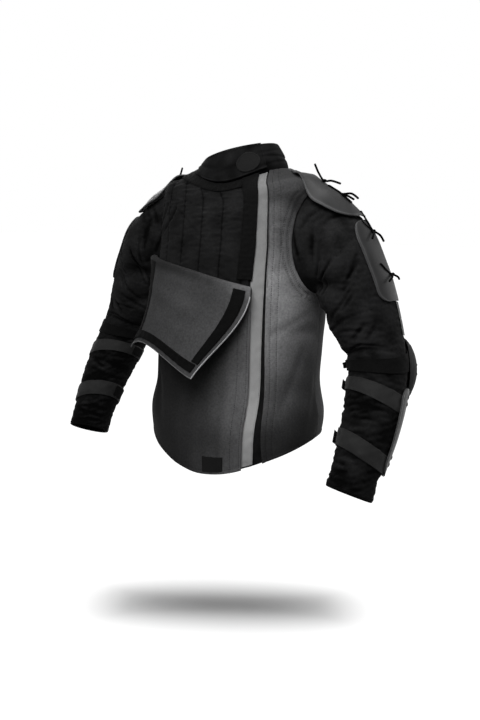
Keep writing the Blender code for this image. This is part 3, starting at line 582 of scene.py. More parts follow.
def wall(
    name: str,
    inner: Array,
    outer: Array,
    ring: bool = False,
    fields: Fields | None = None,
    roundness: float = 0.3,
) -> Object:
    """A closed wall between two grids of points, with rounded rims.

    Both faces end a little short of the grids' edges, and each rim between them is half an ellipse, of
    five points, that reaches back out to the edge.

    Args:
        name: The piece's name.
        inner: The grid of one face.
        outer: The grid of the other.
        ring: Whether the last column meets the first.
        fields: Values on the grid, by name.
        roundness: How far a rim bulges, as a share of the wall's thickness.

    Returns:
        The wall as an object.
    """
    rows, columns = inner.shape[:2]
    middle = (inner + outer) / 2
    along, across = unit(np.gradient(middle, axis=0)), unit(np.gradient(middle, axis=1))
    away = np.zeros_like(middle)
    away[0] -= along[0]
    away[-1] += along[-1]
    if not ring:
        away[:, 0] -= across[:, 0]
        away[:, -1] += across[:, -1]
    away = away * roundness * np.linalg.norm(outer - inner, axis=-1, keepdims=True)
    inner, outer = inner - away, outer - away

    number = np.arange(rows * columns).reshape(rows, columns)
    width = walked(outer, 1)
    height = walked(outer, 0)
    if ring:
        closing = np.linalg.norm(outer[:, :1] - outer[:, -1:], axis=-1)
        number = np.hstack([number, number[:, :1]])
        width = np.hstack([width, width[:, -1:] + closing])
        height = np.hstack([height, height[:, :1]])
    cloth = np.stack([width, height], -1)
    if ring:
        loops = [np.s_[0, :], np.s_[-1, ::-1]]
        rims = [(number[loop], cloth[loop]) for loop in loops]
    else:
        rims = [
            tuple(
                np.concatenate([grid[0, :-1], grid[:-1, -1], grid[-1, :0:-1], grid[::-1, 0]])
                for grid in (number, cloth)
            )
        ]

    def faces_of(grid: Array) -> Array:
        """The four-cornered faces between a grid's rows and columns."""
        sides = (grid[:-1, :-1], grid[:-1, 1:], grid[1:, 1:], grid[1:, :-1])
        return np.stack([side.reshape(-1, *grid.shape[2:]) for side in sides], 1)

    far = rows * columns
    faces, maps = [faces_of(number), faces_of(number)[:, ::-1] + far], [faces_of(cloth)]
    maps.append(maps[0][:, ::-1])
    points, extra = [outer.reshape(-1, 3), inner.reshape(-1, 3)], []
    flat_outer, flat_inner, flat_away = (grid.reshape(-1, 3) for grid in (outer, inner, away))
    start = 2 * far
    for ids, place in rims:
        distinct = ids[:-1]
        centre = (flat_outer[distinct] + flat_inner[distinct]) / 2
        half = (flat_outer[distinct] - flat_inner[distinct]) / 2
        ladder = [ids]
        for turn in (pi / 4, pi / 2, 3 * pi / 4):
            points.append(centre + half * cos(turn) + 2 * flat_away[distinct] * sin(turn))
            extra.append(distinct)
            rung = start + np.arange(len(distinct))
            ladder.append(np.append(rung, rung[0]))
            start += len(distinct)
        ladder.append(ids + far)
        for upper, lower in zip(ladder, ladder[1:]):
            faces.append(np.stack([upper[1:], upper[:-1], lower[:-1], lower[1:]], -1))
            maps.append(np.stack([place[1:], place[:-1], place[:-1], place[1:]], 1))
    spread = {
        label: np.concatenate([np.tile(np.ravel(values), 2)] + [np.ravel(values)[ids] for ids in extra])
        for label, values in (fields or {}).items()
    }
    return mesh_object(name, np.concatenate(points), [np.concatenate(faces)], [np.concatenate(maps)], spread)


def lofted(name: str, rings: Array) -> Object:
    """A closed body through rings of points, closed by one point at the middle of each end ring."""
    rows, columns = rings.shape[:2]
    number = np.arange(rows * columns).reshape(rows, columns)
    turned = np.roll(number, -1, axis=1)
    sides = np.stack([number[:-1], turned[:-1], turned[1:], number[1:]], -1).reshape(-1, 4)
    poles = np.full(columns, rows * columns), np.full(columns, rows * columns + 1)
    caps = np.concatenate([
        np.stack([poles[0], turned[0], number[0]], -1), np.stack([number[-1], turned[-1], poles[1]], -1),
    ])
    points = np.concatenate([rings.reshape(-1, 3), rings[:1].mean(1), rings[-1:].mean(1)])
    around = np.arange(columns + 1) / columns * 0.01
    height = walked(rings.mean(1)[:, None], 0)[:, 0]
    cloth = np.stack(np.broadcast_arrays(around[None], height[:, None]), -1)
    side_map = np.stack([cloth[:-1, :-1], cloth[:-1, 1:], cloth[1:, 1:], cloth[1:, :-1]], 2).reshape(-1, 4, 2)
    cap_map = np.concatenate([
        np.stack([cloth[row, :-1], cloth[row, 1:], cloth[row, :-1]], 1) for row in (0, -1)
    ])
    return mesh_object(name, points, [sides, caps], [side_map, cap_map])


def spaced(line: Array, pitch: float) -> Array:
    """Points at an even pitch along a line, with any further columns carried along."""
    walk = np.concatenate([[0], np.cumsum(np.linalg.norm(np.diff(line[:, :3], axis=0), axis=-1))])
    at = np.linspace(0, walk[-1], max(3, int(walk[-1] / pitch)))
    return np.stack([np.interp(at, walk, column) for column in line.T], -1)


def tube(
    name: str, path: Array, radius: float, sides: int = 10, flat: float = 1.0, up: Array | None = None
) -> Object:
    """A cord with round ends along a path.

    Each ring is an ellipse square to the path, and four rings at each end shrink as a half circle does.

    Args:
        name: The piece's name.
        path: The points that it follows.
        radius: Half of its width.
        sides: Points in each ring.
        flat: Its thickness as a share of its width.
        up: The way out of the surface that it lies on, for each point or for all.

    Returns:
        The cord as an object.
    """
    heading = unit(np.gradient(path, axis=0))
    up = np.array([0.3, 0.2, 0.93]) if up is None else up
    sideways = unit(np.cross(heading, np.broadcast_to(up, path.shape)))
    out = np.cross(sideways, heading)
    cap = np.array([0.99, 0.8, 0.5, 0.2])
    share = np.concatenate([np.sqrt(1 - cap**2), np.ones(len(path)), np.sqrt(1 - cap[::-1] ** 2)])
    shift = np.concatenate([-cap, np.zeros(len(path)), cap[::-1]]) * radius
    row = np.concatenate([np.zeros(4, int), np.arange(len(path)), np.full(4, len(path) - 1)])
    turn = np.arange(sides) * 2 * pi / sides
    round_way = np.cos(turn)[:, None] * sideways[row][:, None]
    round_way = round_way + flat * np.sin(turn)[:, None] * out[row][:, None]
    centre = path[row] + shift[:, None] * heading[row]
    return lofted(name, centre[:, None] + radius * share[:, None, None] * round_way)


def follow(points: Array, out: Array, field: Array, value: float) -> Line:
    """The longest unbroken line along a grid's rows where a field that rises in each row has a value."""
    row = np.flatnonzero((field[:, 0] < value) & (field[:, -1] > value))
    row = max(np.split(row, np.flatnonzero(np.diff(row) > 1) + 1), key=len)
    column = np.clip((field < value).sum(axis=1), 1, field.shape[1] - 1)[row]
    low, high = field[row, column - 1], field[row, column]
    share = ((value - low) / np.maximum(high - low, 1e-9))[:, None]
    found = (grid[row, column - 1] * (1 - share) + grid[row, column] * share for grid in (points, out))
    return Line(*found)


def crosswise(*grids: Array) -> list[Array]:
    """Grids with their rows and columns exchanged."""
    return [grid.swapaxes(0, 1) for grid in grids]


def inset_lines(points: Array, out: Array, inset: float) -> list[Line]:
    """The two lines along a grid's rows that lie an inset from its edges."""
    width = walked(points, 1)
    flipped = points[:, ::-1], out[:, ::-1], width[:, -1:] - width[:, ::-1]
    return [follow(points, out, width, inset), follow(*flipped, inset)]


@dataclass(frozen=True)
class Stitch:
    """Sizes of a row of sewing: each stitch a small lozenge lying on the cloth."""

    pitch: float = 0.0042
    length: float = 0.0034
    width: float = 0.0009
    height: float = 0.0005

    def sew(self, name: str, lines: Sequence[Line]) -> Object:
        """Stitches along lines, as one piece.

        Every stitch has a point at each end and two rings of four between them, turned to the line's
        heading and to the way out of the cloth.
        """
        ring = np.array([[0, 1, 0], [0, 0, 1], [0, -1, 0], [0, 0, -0.6]])
        shape = np.concatenate([
            [[-1, 0, -0.3]], ring + [-0.45, 0, 0], ring + [0.45, 0, 0], [[1, 0, -0.3]],
        ]) * [self.length / 2, self.width / 2, self.height]
        near, far = np.arange(1, 5), np.arange(5, 9)
        ends = np.concatenate([
            np.stack([np.zeros(4, int), np.roll(near, -1), near], -1),
            np.stack([far, np.roll(far, -1), np.full(4, 9)], -1),
        ])
        sides = np.stack([near, np.roll(near, -1), np.roll(far, -1), far], -1)
        points = []
        for line in lines:
            if len(line.points) < 3:
                continue
            rows = spaced(np.hstack([line.points, line.out]), self.pitch)
            centre, out = rows[:, :3], unit(rows[:, 3:])
            heading = unit(np.gradient(centre, axis=0))
            frame = np.stack([heading, unit(np.cross(out, heading)), out], 1)
            points.append((centre[:, None] + shape @ frame).reshape(-1, 3))
        joined = np.concatenate(points)
        first = (np.arange(len(joined) // 10) * 10)[:, None, None]
        groups = [(sides + first).reshape(-1, 4), (ends + first).reshape(-1, 3)]
        return mesh_object(name, joined, groups)


# Finishes


class Graph:
    """A material's node tree, and the sums written in it."""

    def __init__(self, name: str) -> None:
        """Start a material of this name with an empty tree."""
        self.material = bpy.data.materials.new(name)
        self.material.use_nodes = True
        self.tree = self.material.node_tree
        self.tree.nodes.clear()

    def node(self, kind: str, settings: dict | None = None, inputs: dict | None = None) -> bpy.types.Node:
        """Create one node.

        Args:
            kind: The node's type.
            settings: Its own settings, by name.
            inputs: Its inputs by name or number: a Value or a socket to link, or a constant.

        Returns:
            The node.
        """
        made = self.tree.nodes.new(kind)
        for label, setting in (settings or {}).items():
            setattr(made, label, setting)
        for label, given in (inputs or {}).items():
            if isinstance(given, Value):
                given = given.socket
            if isinstance(given, bpy.types.NodeSocket):
                self.tree.links.new(given, made.inputs[label])
            else:
                made.inputs[label].default_value = given
        return made

    def sum(self, operation: str, *terms: Union["Value", float]) -> "Value":
        """One step of arithmetic."""
        made = self.node("ShaderNodeMath", {"operation": operation}, dict(enumerate(terms)))
        return Value(self, made.outputs[0])

    def field(self, name: str) -> "Value":
        """A value carried by the mesh."""
        made = self.node("ShaderNodeAttribute", {"attribute_name": name})
        return Value(self, made.outputs["Fac"])

    def place(self, stretch: Sequence[float] = (1, 1, 1)) -> bpy.types.NodeSocket:
        """Places in metres on the object, stretched along each axis."""
        where = self.node("ShaderNodeTexCoord").outputs["Object"]
        return self.node("ShaderNodeMapping", None, {"Vector": where, "Scale": stretch}).outputs[0]

    def cloth(self) -> tuple["Value", "Value"]:
        """How far across and along the flat cloth a place is, in metres."""
        where = self.node("ShaderNodeUVMap", {"uv_map": "cloth"}).outputs[0]
        parts = self.node("ShaderNodeSeparateXYZ", None, {0: where})
        return Value(self, parts.outputs[0]), Value(self, parts.outputs[1])

    def noise(self, size: float, detail: float = 2.0, stretch: Sequence[float] = (1, 1, 1)) -> "Value":
        """Cloudy noise about 0, with features of a size in metres."""
        inputs = {"Vector": self.place(stretch), "Scale": 1 / size, "Detail": detail, "Roughness": 0.6}
        return Value(self, self.node("ShaderNodeTexNoise", None, inputs).outputs[0]) * 2.0 - 1.0

    def colour(self, share: "Value", low: float, high: float, tint: float = 1.0) -> bpy.types.NodeSocket:
        """A grey between two tones; tint is how much bluer than grey it is."""
        tones = [(tone, tone, tone * tint, 1.0) for tone in (low, high)]
        inputs = {0: share, 6: tones[0], 7: tones[1]}
        return self.node("ShaderNodeMix", {"data_type": "RGBA"}, inputs).outputs[2]

    def bump(
        self, height: "Value", depth: float, under: bpy.types.NodeSocket | None = None
    ) -> bpy.types.NodeSocket:
        """The surface's direction, roughened by a height from 0 to 1 times a depth in metres."""
        inputs = {"Height": height, "Distance": depth, "Strength": 1.0}
        if under is not None:
            inputs["Normal"] = under
        return self.node("ShaderNodeBump", None, inputs).outputs[0]

    def surface(self, inputs: dict) -> bpy.types.Material:
        """Finish the material with one principled shader."""
        shader = self.node("ShaderNodeBsdfPrincipled", None, inputs)
        self.node("ShaderNodeOutputMaterial", None, {"Surface": shader.outputs[0]})
        return self.material


@dataclass(frozen=True)
class Value:
    """A number that varies over a surface, which sums can be written with."""

    graph: Graph
    socket: bpy.types.NodeSocket

    def __add__(self, other: Union["Value", float]) -> "Value":
        """The sum."""
        return self.graph.sum("ADD", self, other)

    def __radd__(self, other: float) -> "Value":
        """The sum, the other way round."""
        return self.graph.sum("ADD", other, self)

    def __sub__(self, other: Union["Value", float]) -> "Value":
        """The difference."""
        return self.graph.sum("SUBTRACT", self, other)

    def __rsub__(self, other: float) -> "Value":
        """The difference, the other way round."""
        return self.graph.sum("SUBTRACT", other, self)

    def __mul__(self, other: Union["Value", float]) -> "Value":
        """The product."""
        return self.graph.sum("MULTIPLY", self, other)

    def __rmul__(self, other: float) -> "Value":
        """The product, the other way round."""
        return self.graph.sum("MULTIPLY", other, self)

    def __truediv__(self, other: Union["Value", float]) -> "Value":
        """The quotient."""
        return self.graph.sum("DIVIDE", self, other)

    def __abs__(self) -> "Value":
        """The size without its sign."""
        return self.graph.sum("ABSOLUTE", self)

    def sine(self) -> "Value":
        """The sine."""
        return self.graph.sum("SINE", self)

    def most(self, other: Union["Value", float]) -> "Value":
        """The greater of two."""
        return self.graph.sum("MAXIMUM", self, other)

    def least(self, other: Union["Value", float]) -> "Value":
        """The lesser of two."""
        return self.graph.sum("MINIMUM", self, other)

    def share(self) -> "Value":
        """The value held between 0 and 1."""
        return self.most(0.0).least(1.0)


class Slot(str, Enum):
    """The record's material slots."""

    SHELL = "shell_cloth"
    BLACK = "black_cloth"
    TAPE = "black_tape"
    LIGHT = "light_tape"
    STRAP = "elastic_strap"
    PLATE = "hard_plate"
    RIVET = "rivet"
    PATCH = "woven_patch"
    LACE = "waxed_lace"


@dataclass(frozen=True)
class Cloth:
    """Woven cloth: a fine weave, mottled grain, soft wear and painted light and shade where the mesh says so,
    and a low sheen.
    """

    name: str
    tone: float
    grain: float = 0.25
    grain_size: float = 0.0022
    mottle: float = 0.15
    weave: float = 0.0009
    weave_depth: float = 0.00012
    roughness: float = 0.85
    sheen: float = 0.15
    sheen_roughness: float = 0.5
    worn: float = 0.5
    specular: float = 0.3

    def material(self) -> bpy.types.Material:
        """The finish as a material.

        The tone is the mean, raised and lowered by the grain, by a coarser mottle and by the mesh's
        wear and painted light and shade. The weave is the higher of two sets of rounded threads that cross.
        """
        graph = Graph(self.name)
        across, along = graph.cloth()
        grain = graph.noise(self.grain_size, 3.0) * self.grain + graph.noise(0.035, 3.0) * self.mottle
        # The mesh's field adds its wear and its painted light and shade to the tone.
        shade = ((0.5 + graph.field("worn") * (0.5 * self.worn)) * (grain + 1.0)).share()
        warp = abs((across * (pi / self.weave)).sine())
        weft = abs((along * (pi / self.weave)).sine())
        rough = graph.noise(0.0016, 2.0) * 0.5 + 0.5
        threads = graph.bump(warp.most(weft) * 0.6 + rough * 0.4, self.weave_depth)
        return graph.surface({
            "Base Color": graph.colour(shade, 0.0, 2 * self.tone, 1.02),
            "Roughness": self.roughness,
            "Specular IOR Level": self.specular,
            "Sheen Weight": self.sheen,
            "Sheen Roughness": self.sheen_roughness,
            "Normal": threads,
        })


@dataclass(frozen=True)
class Ribbed:
    """Tape or elastic with ribs along or across it, and a fuzz of fine loops."""

    name: str
    tone: float
    rib: float = 0.0016
    lengthwise: bool = True
    depth: float = 0.00025
    fuzz: float = 0.3
    roughness: float = 0.8
    sheen: float = 0.1
    specular: float = 0.3

    def material(self) -> bpy.types.Material:
        """The finish as a material: rounded ribs, a sine along the flat cloth, under cloudy fuzz."""
        graph = Graph(self.name)
        across, along = graph.cloth()
        ribs = abs(((across if self.lengthwise else along) * (pi / self.rib)).sine())
        fuzz = graph.noise(0.0012, 3.0)
        shade = 0.42 + 0.12 * ribs + fuzz * self.fuzz + graph.noise(0.02) * 0.1
        # The mesh's field lightens or darkens the tone where a piece carries it.
        shade = (shade + graph.field("worn") * 0.5).share()
        return graph.surface({
            "Base Color": graph.colour(shade, 0.0, 2 * self.tone),
            "Roughness": self.roughness,
            "Specular IOR Level": self.specular,
            "Sheen Weight": self.sheen,
            "Normal": graph.bump(ribs * 0.6 + fuzz * 0.4, self.depth),
        })


@dataclass(frozen=True)
class Moulded:
    """Satin moulded plastic or dull metal: a fine grain, faint scuffs, and lighter rims that are partly wear
    and partly painted highlight.
    """

    name: str
    tone: float
    roughness: float = 0.36
    metallic: float = 0.0
    coat: float = 0.0
    grain: float = 0.00006
    specular: float = 0.5

    def material(self) -> bpy.types.Material:
        """The finish as a material: roughness and tone follow two sizes of cloudy noise."""
        graph = Graph(self.name)
        cloud, scuff = graph.noise(0.03, 3.0), graph.noise(0.004, 4.0)
        # The mesh's field adds the rims' wear and painted highlight, and the shoulder plates' painted light.
        shade = (0.167 + cloud * 0.03 + scuff * 0.02 + graph.field("worn") * 0.7).share()
        return graph.surface({
            "Base Color": graph.colour(shade, 0.0, 6 * self.tone, 1.02),
            "Roughness": (self.roughness + cloud * 0.05 + scuff * 0.06).share(),
            "Metallic": self.metallic,
            "Specular IOR Level": self.specular,
            "Coat Weight": self.coat,
            "Coat Roughness": 0.3,
            "Normal": graph.bump(graph.noise(0.0011, 2.0), self.grain),
        })


def make_finishes() -> dict[Slot | str, bpy.types.Material]:
    """Every finish of the jacket, by slot, with the sewing's dark finish, which also paints the shadow rings
    round the rivets, and the piping beside them.
    """
    looks: dict[Slot | str, Cloth | Ribbed | Moulded] = {
        Slot.SHELL: Cloth(
            Slot.SHELL.value, 0.27, grain=0.55, grain_size=0.004, sheen=0.05, worn=1.0, specular=0.15,
        ),
        Slot.BLACK: Cloth(
            Slot.BLACK.value, 0.013, grain=0.5, grain_size=0.004, sheen=0.02, weave_depth=0.00015, worn=0.9,
            specular=0.07, roughness=0.9,
        ),
        Slot.TAPE: Ribbed(Slot.TAPE.value, 0.006, fuzz=0.4, sheen=0.02, roughness=0.95, specular=0.08),
        Slot.LIGHT: Ribbed(Slot.LIGHT.value, 0.33, rib=0.0012, depth=0.00015, fuzz=0.12),
        Slot.STRAP: Ribbed(Slot.STRAP.value, 0.012, rib=0.0014, fuzz=0.15, roughness=0.7),
        Slot.PLATE: Moulded(Slot.PLATE.value, 0.020, roughness=0.48, specular=0.3),
        "cup": Moulded("cup", 0.010, roughness=0.65, specular=0.25),
        Slot.RIVET: Moulded(Slot.RIVET.value, 0.16, roughness=0.35, metallic=0.6),
        Slot.PATCH: Ribbed(Slot.PATCH.value, 0.010, rib=0.0010, lengthwise=False, fuzz=0.2, specular=0.15),
        Slot.LACE: Ribbed(
            Slot.LACE.value, 0.002, rib=0.0011, lengthwise=False, fuzz=0.1, roughness=0.8, sheen=0,
            specular=0.05,
        ),
        # The sewing's dark finish, also on the painted shadow ring round each rivet head.
        "thread": Moulded("thread", 0.004, roughness=0.9, specular=0.1),
        "seam": Moulded("seam", 0.022, roughness=0.9, specular=0.1),
        # One piping cloth in a light and a dark copy: painted light on the flap's closure edge and painted
        # shade on its other edges.
        "piping": Cloth("piping", 0.62, grain=0.15, weave=0.0007),
        "piping_shade": Cloth("piping_shade", 0.20, grain=0.15, weave=0.0007),
    }
    return {key: look.material() for key, look in looks.items()}


@dataclass
class Kit:
    """What every sub-assembly works with."""

    body: BodyForm
    arm: ArmForm
    finishes: dict[Slot | str, bpy.types.Material]
    made: list[str] = field(default_factory=list)

    def dress(self, piece: Object, slot: Slot, *nodes: str, finish: Slot | str | None = None) -> Object:
        """Give a piece its finish and slot, and let it ride on the body.

        Args:
            piece: The piece.
            slot: The record's slot.
            nodes: The CAD nodes that it stands for.
            finish: Its finish, where that isn't the slot's own.

        Returns:
            The piece.
        """
        piece.data.materials.append(self.finishes[finish or slot])
        if nodes:
            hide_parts(*nodes)
        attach(piece, BODY)
        self.made.append(piece.name)
        faces = len(piece.data.polygons) if piece.type == "MESH" else 0
        LOG.info("made %s with %d faces", piece.name, faces)
        return piece


# The studio


@dataclass(frozen=True)
class Studio:
    """A camera fitted to the photograph, the lights and the white floor."""

    distance: float = 1.299
    azimuth: float = radians(30.2)
    height: float = -0.112
    pitch: float = radians(12.8)
    yaw: float = radians(-0.05)
    roll: float = radians(1.43)
    lens: float = 29.95
    floor: float = -1.02
    aim: tuple[float, float, float] = (0.04, -0.05, -0.22)
    lamps: tuple[tuple[str, tuple[float, float, float], float, float], ...] = (
        ("key", (0.30, -0.95, 0.62), 0.75, 11.0),
        ("fill", (-0.9, -1.6, 0.2), 1.6, 1.3),
        ("top", (0.05, 0.20, 1.05), 0.9, 7.0),
        ("rim_left", (1.35, 1.25, 0.25), 0.9, 3.0),
        ("rim_right", (-1.20, 1.20, 0.30), 1.0, 16.0),
        ("behind", (0.55, 1.40, -0.70), 1.2, 5.0),
    )
    dim: float = 0.04
    shine: float = 0.45
    overhead: float = 4.0
    overhead_spread: float = radians(40)
    flag_at: tuple[float, float, float] = (-0.014, -0.011, -0.80)
    flag_size: tuple[float, float] = (0.325, 0.055)

    def build(self) -> None:
        """Make the camera, the lights, the world and the floor."""
        self.camera()
        bpy.context.scene.world = self.world()
        floor = self.floor_plane()
        others = bpy.data.collections.new("all_but_floor")
        others.objects.link(floor)
        others.collection_objects[0].light_linking.link_state = "EXCLUDE"
        for name, place, size, power in self.lamps:
            self.light(name, place, size, power).light_linking.receiver_collection = others
        bpy.context.scene.view_settings.view_transform = "Standard"

    def camera(self) -> None:
        """Place the camera: round the jacket, tipped down, with a slight roll."""
        heading = self.azimuth + self.yaw
        ahead = np.array([-sin(heading) * cos(self.pitch), cos(heading) * cos(self.pitch), -sin(self.pitch)])
        right = np.array([cos(heading), sin(heading), 0.0])
        up = np.cross(right, ahead)
        rolled = right * cos(self.roll) + up * sin(self.roll), up * cos(self.roll) - right * sin(self.roll)
        place = (self.distance * sin(self.azimuth), -self.distance * cos(self.azimuth), self.height)
        matrix = Matrix.Identity(4)
        for column, axis in enumerate((*rolled, -ahead, place)):
            for row in range(3):
                matrix[row][column] = float(axis[row])
        made = bpy.data.objects.new("camera", bpy.data.cameras.new("camera"))
        made.data.lens = self.lens
        made.matrix_world = matrix
        bpy.context.scene.collection.objects.link(made)
        bpy.context.scene.camera = made

    def light(self, name: str, place: tuple[float, float, float], size: float, power: float) -> Object:
        """Add one soft square light that faces the jacket."""
        lamp = bpy.data.lights.new(name, "AREA")
        lamp.size, lamp.energy = size, power
        made = bpy.data.objects.new(name, lamp)
        made.visible_camera = False
        away = np.array(place) - np.array(self.aim)
        upright = abs(away[2]) >= 0.99 * np.linalg.norm(away)
        across = unit(np.cross([0, 1.0, 0] if upright else [0.0, 0.0, 1.0], away))
        axes = (across, unit(np.cross(away, across)), unit(away), np.array(place))
        for column, axis in enumerate(axes):
            for row in range(3):
                made.matrix_world[row][column] = float(axis[row])
        bpy.context.scene.collection.objects.link(made)
        return made

    def world(self) -> bpy.types.World:
        """A white surround for the camera that lights the jacket only softly."""
        world = bpy.data.worlds.new("surround")
        world.use_nodes = True
        tree = world.node_tree
        tree.nodes.clear()
        path = tree.nodes.new("ShaderNodeLightPath")
        output = tree.nodes.new("ShaderNodeOutputWorld")
        glows = []
        for strength in (self.dim, self.shine, 1.0):
            glow = tree.nodes.new("ShaderNodeBackground")
            glow.inputs["Color"].default_value = (1, 1, 1, 1)
            glow.inputs["Strength"].default_value = strength
            glows.append(glow.outputs[0])
        for test, socket in (("Is Glossy Ray", glows[1]), ("Is Camera Ray", glows[2])):
            mix = tree.nodes.new("ShaderNodeMixShader")
            tree.links.new(path.outputs[test], mix.inputs[0])
            tree.links.new(glows[0], mix.inputs[1])
            tree.links.new(socket, mix.inputs[2])
            glows[0] = mix.outputs[0]
        tree.links.new(glows[0], output.inputs[0])
        return world

    def floor_plane(self) -> Object:
        """A plain white floor, lit from overhead past a long flag that draws the jacket's soft shadow."""
        across = np.linspace(-30, 30, 3)
        grid = np.stack(np.meshgrid(across, across), -1)
        top = np.dstack([grid, np.full(grid.shape[:2], self.floor)])
        made = wall("floor", top - [0, 0, 0.02], top)
        graph = Graph("floor_white")
        tone = graph.colour(graph.noise(0.8) * 0.1 + 0.5, 0.86, 0.90)
        made.data.materials.append(graph.surface({"Base Color": tone, "Roughness": 0.95}))
        made.visible_diffuse = made.visible_glossy = False
        floor_only = bpy.data.collections.new("floor_only")
        floor_only.objects.link(made)
        lamp = bpy.data.lights.new("overhead", "SUN")
        lamp.energy, lamp.angle = self.overhead, self.overhead_spread
        sun = bpy.data.objects.new("overhead", lamp)
        sun.location = (0.0, 0.0, 2.0)
        sun.light_linking.receiver_collection = floor_only
        bpy.context.scene.collection.objects.link(sun)
        flag = self.flag()
        flag_only = bpy.data.collections.new("flag_only")
        flag_only.objects.link(flag)
        sun.light_linking.blocker_collection = flag_only
        return made

    def flag(self) -> Object:
        """A thin lens-shaped board across the camera's view, seen by no camera or reflection."""
        turn = np.arange(64) * 2 * pi / 64
        right = np.array([cos(self.azimuth), sin(self.azimuth), 0.0])
        ahead = np.array([-sin(self.azimuth), cos(self.azimuth), 0.0])
        long, short = self.flag_size
        ring = long * np.cos(turn)[:, None] * right + short * np.sin(turn)[:, None] * ahead
        rings = np.stack([ring * 0.5, ring, ring * 0.999, ring * 0.5]) + np.array(self.flag_at)
        rings[2:] += [0, 0, 0.004]
        made = lofted("shadow_flag", rings)
        graph = Graph("flag_grey")
        made.data.materials.append(graph.surface({"Base Color": graph.colour(graph.noise(0.1), 0.2, 0.3)}))
        made.visible_camera = made.visible_diffuse = made.visible_glossy = made.visible_transmission = False
        return made


# Laces


@dataclass(frozen=True)
class Laces:
    """The short knotted laces that tie the plates of both arms."""

    width: float = 0.0042
    knot: float = 0.0038
    routes: tuple[tuple[str, tuple[tuple[float, float, float], ...]], ...] = (
        ("neck", (
            (0.1585, 0.0010, 0.0040), (0.1664, 0.0030, -0.0122), (0.1778, 0.0040, -0.0264),
            (0.1914, 0.0085, -0.0262), (0.2070, 0.0150, -0.0310),
        )),
        ("shoulder", (
            (0.2420, 0.0235, -0.0580), (0.2322, 0.0125, -0.0501), (0.2210, 0.0010, -0.0523),
            (0.2257, 0.0130, -0.0546), (0.2320, 0.0270, -0.0600),
        )),
        ("arm_top", (
            (0.2985, 0.0240, -0.1370), (0.2946, 0.0110, -0.1262), (0.2841, 0.0000, -0.1190),
            (0.2906, -0.0130, -0.1232), (0.2930, -0.0275, -0.1320),
        )),
        ("arm_end", (
            (0.3320, 0.0330, -0.2080), (0.3332, 0.0170, -0.2025), (0.3251, 0.0056, -0.1976),
            (0.3307, -0.0090, -0.2015), (0.3305, -0.0245, -0.2080),
        )),
    )

    bars: tuple[tuple[str, float, tuple[tuple[float, float, float], ...]], ...] = (
        ("shoulder", 0.0034, (
            (0.1893, 0.0006, -0.0354), (0.1990, 0.0000, -0.0407), (0.2088, -0.0006, -0.0461),
            (0.2179, -0.0008, -0.0523), (0.2267, -0.0003, -0.0591), (0.2354, 0.0000, -0.0662),
        )),
        ("shoulder", 0.0034, (
            (0.1893, 0.0047, -0.0354), (0.1990, 0.0045, -0.0408), (0.2088, 0.0041, -0.0461),
            (0.2180, 0.0040, -0.0524), (0.2268, 0.0056, -0.0592), (0.2353, 0.0075, -0.0663),
        )),
        ("arm_top", 0.0022, (
            (0.2575, -0.0124, -0.0935), (0.2640, -0.0135, -0.0983), (0.2701, -0.0152, -0.1035),
            (0.2751, -0.0121, -0.1088), (0.2795, -0.0059, -0.1140), (0.2834, 0.0003, -0.1195),
        )),
        ("arm_top", 0.0036, (
            (0.2553, 0.0083, -0.0833), (0.2615, 0.0069, -0.0908), (0.2670, 0.0058, -0.0980),
            (0.2727, 0.0042, -0.1048), (0.2784, 0.0022, -0.1120), (0.2834, 0.0003, -0.1195),
        )),
        ("arm_end", 0.0030, (
            (0.3116, -0.0240, -0.1776), (0.3150, -0.0194, -0.1824), (0.3183, -0.0147, -0.1873),
            (0.3206, -0.0086, -0.1910), (0.3223, -0.0016, -0.1945), (0.3238, 0.0052, -0.1984),
        )),
        ("arm_end", 0.0030, (
            (0.3124, -0.0208, -0.1790), (0.3156, -0.0162, -0.1838), (0.3189, -0.0115, -0.1887),
            (0.3211, -0.0054, -0.1924), (0.3227, 0.0012, -0.1957), (0.3240, 0.0070, -0.1990),
        )),
    )

    def strand(self, route: Array, towards: int, side: Side) -> Array:
        """The line of one strand, from the knot at the middle of a route to one of its ends."""
        rows = np.array(route)[::towards]
        at = np.linspace(2, 4, 19)
        return side.place(eased(rows, at))

    def knot_path(self, middle: Array) -> Array:
        """A small overhand knot: a trefoil line, (sin t + 2 sin 2t, cos t - 2 cos 2t, -sin 3t)."""
        t = np.linspace(0, 2 * pi, 61)[:-1]
        loop = np.stack([
            np.sin(t) + 2 * np.sin(2 * t), np.cos(t) - 2 * np.cos(2 * t), -1.2 * np.sin(3 * t),
        ], -1)
        return middle + loop * self.knot / 3

    def build(self, kit: Kit) -> None:
        """Make each lace as two free strands from a knot."""
        for side in Side:
            for place, route in self.routes:
                node = f"lace_{place}_{side.label}"
                middle = side.place(np.array(route[2]))
                beside = [tube(f"knot_{place}_{side.label}", self.knot_path(middle), self.width * 0.42)]
                for number, (at, width, points) in enumerate(self.bars):
                    if at == place:
                        bar = side.place(eased(np.array(points), np.linspace(0, len(points) - 1, 31)))
                        beside.append(tube(f"lace_bar_{number}_{side.label}", bar, width / 2))
                beside = [kit.dress(piece, Slot.LACE) for piece in beside]
                for label, towards in (("front", 1), ("back", -1)):
                    path = self.strand(np.array(route), towards, side)
                    made = tube(f"strand_{place}_{label}_{side.label}", path, self.width / 2)
                    kit.dress(made, Slot.LACE, node)
                    length = float(walked(path[:, None], 0)[-1, 0]) + self.width / 2
                    LOG.info("cord %s is %.1f mm long", made.name, 1000 * length)


# The jacket


def groove(distance: Array, points: Array, lines: Sequence[float], seed: int, depth: float = 0.0006) -> Array:
    """How sewing lines draw cloth in: a narrow trough along each line, with uneven puckers beside it."""
    total = np.zeros_like(distance)
    for number, place in enumerate(lines):
        pucker = uneven(points, 0.009, seed + number)
        total += depth * bell(distance - place, 0.0022)
        total += 0.25 * depth * bell(distance - place, 0.006) * (1 + pucker)
    return total


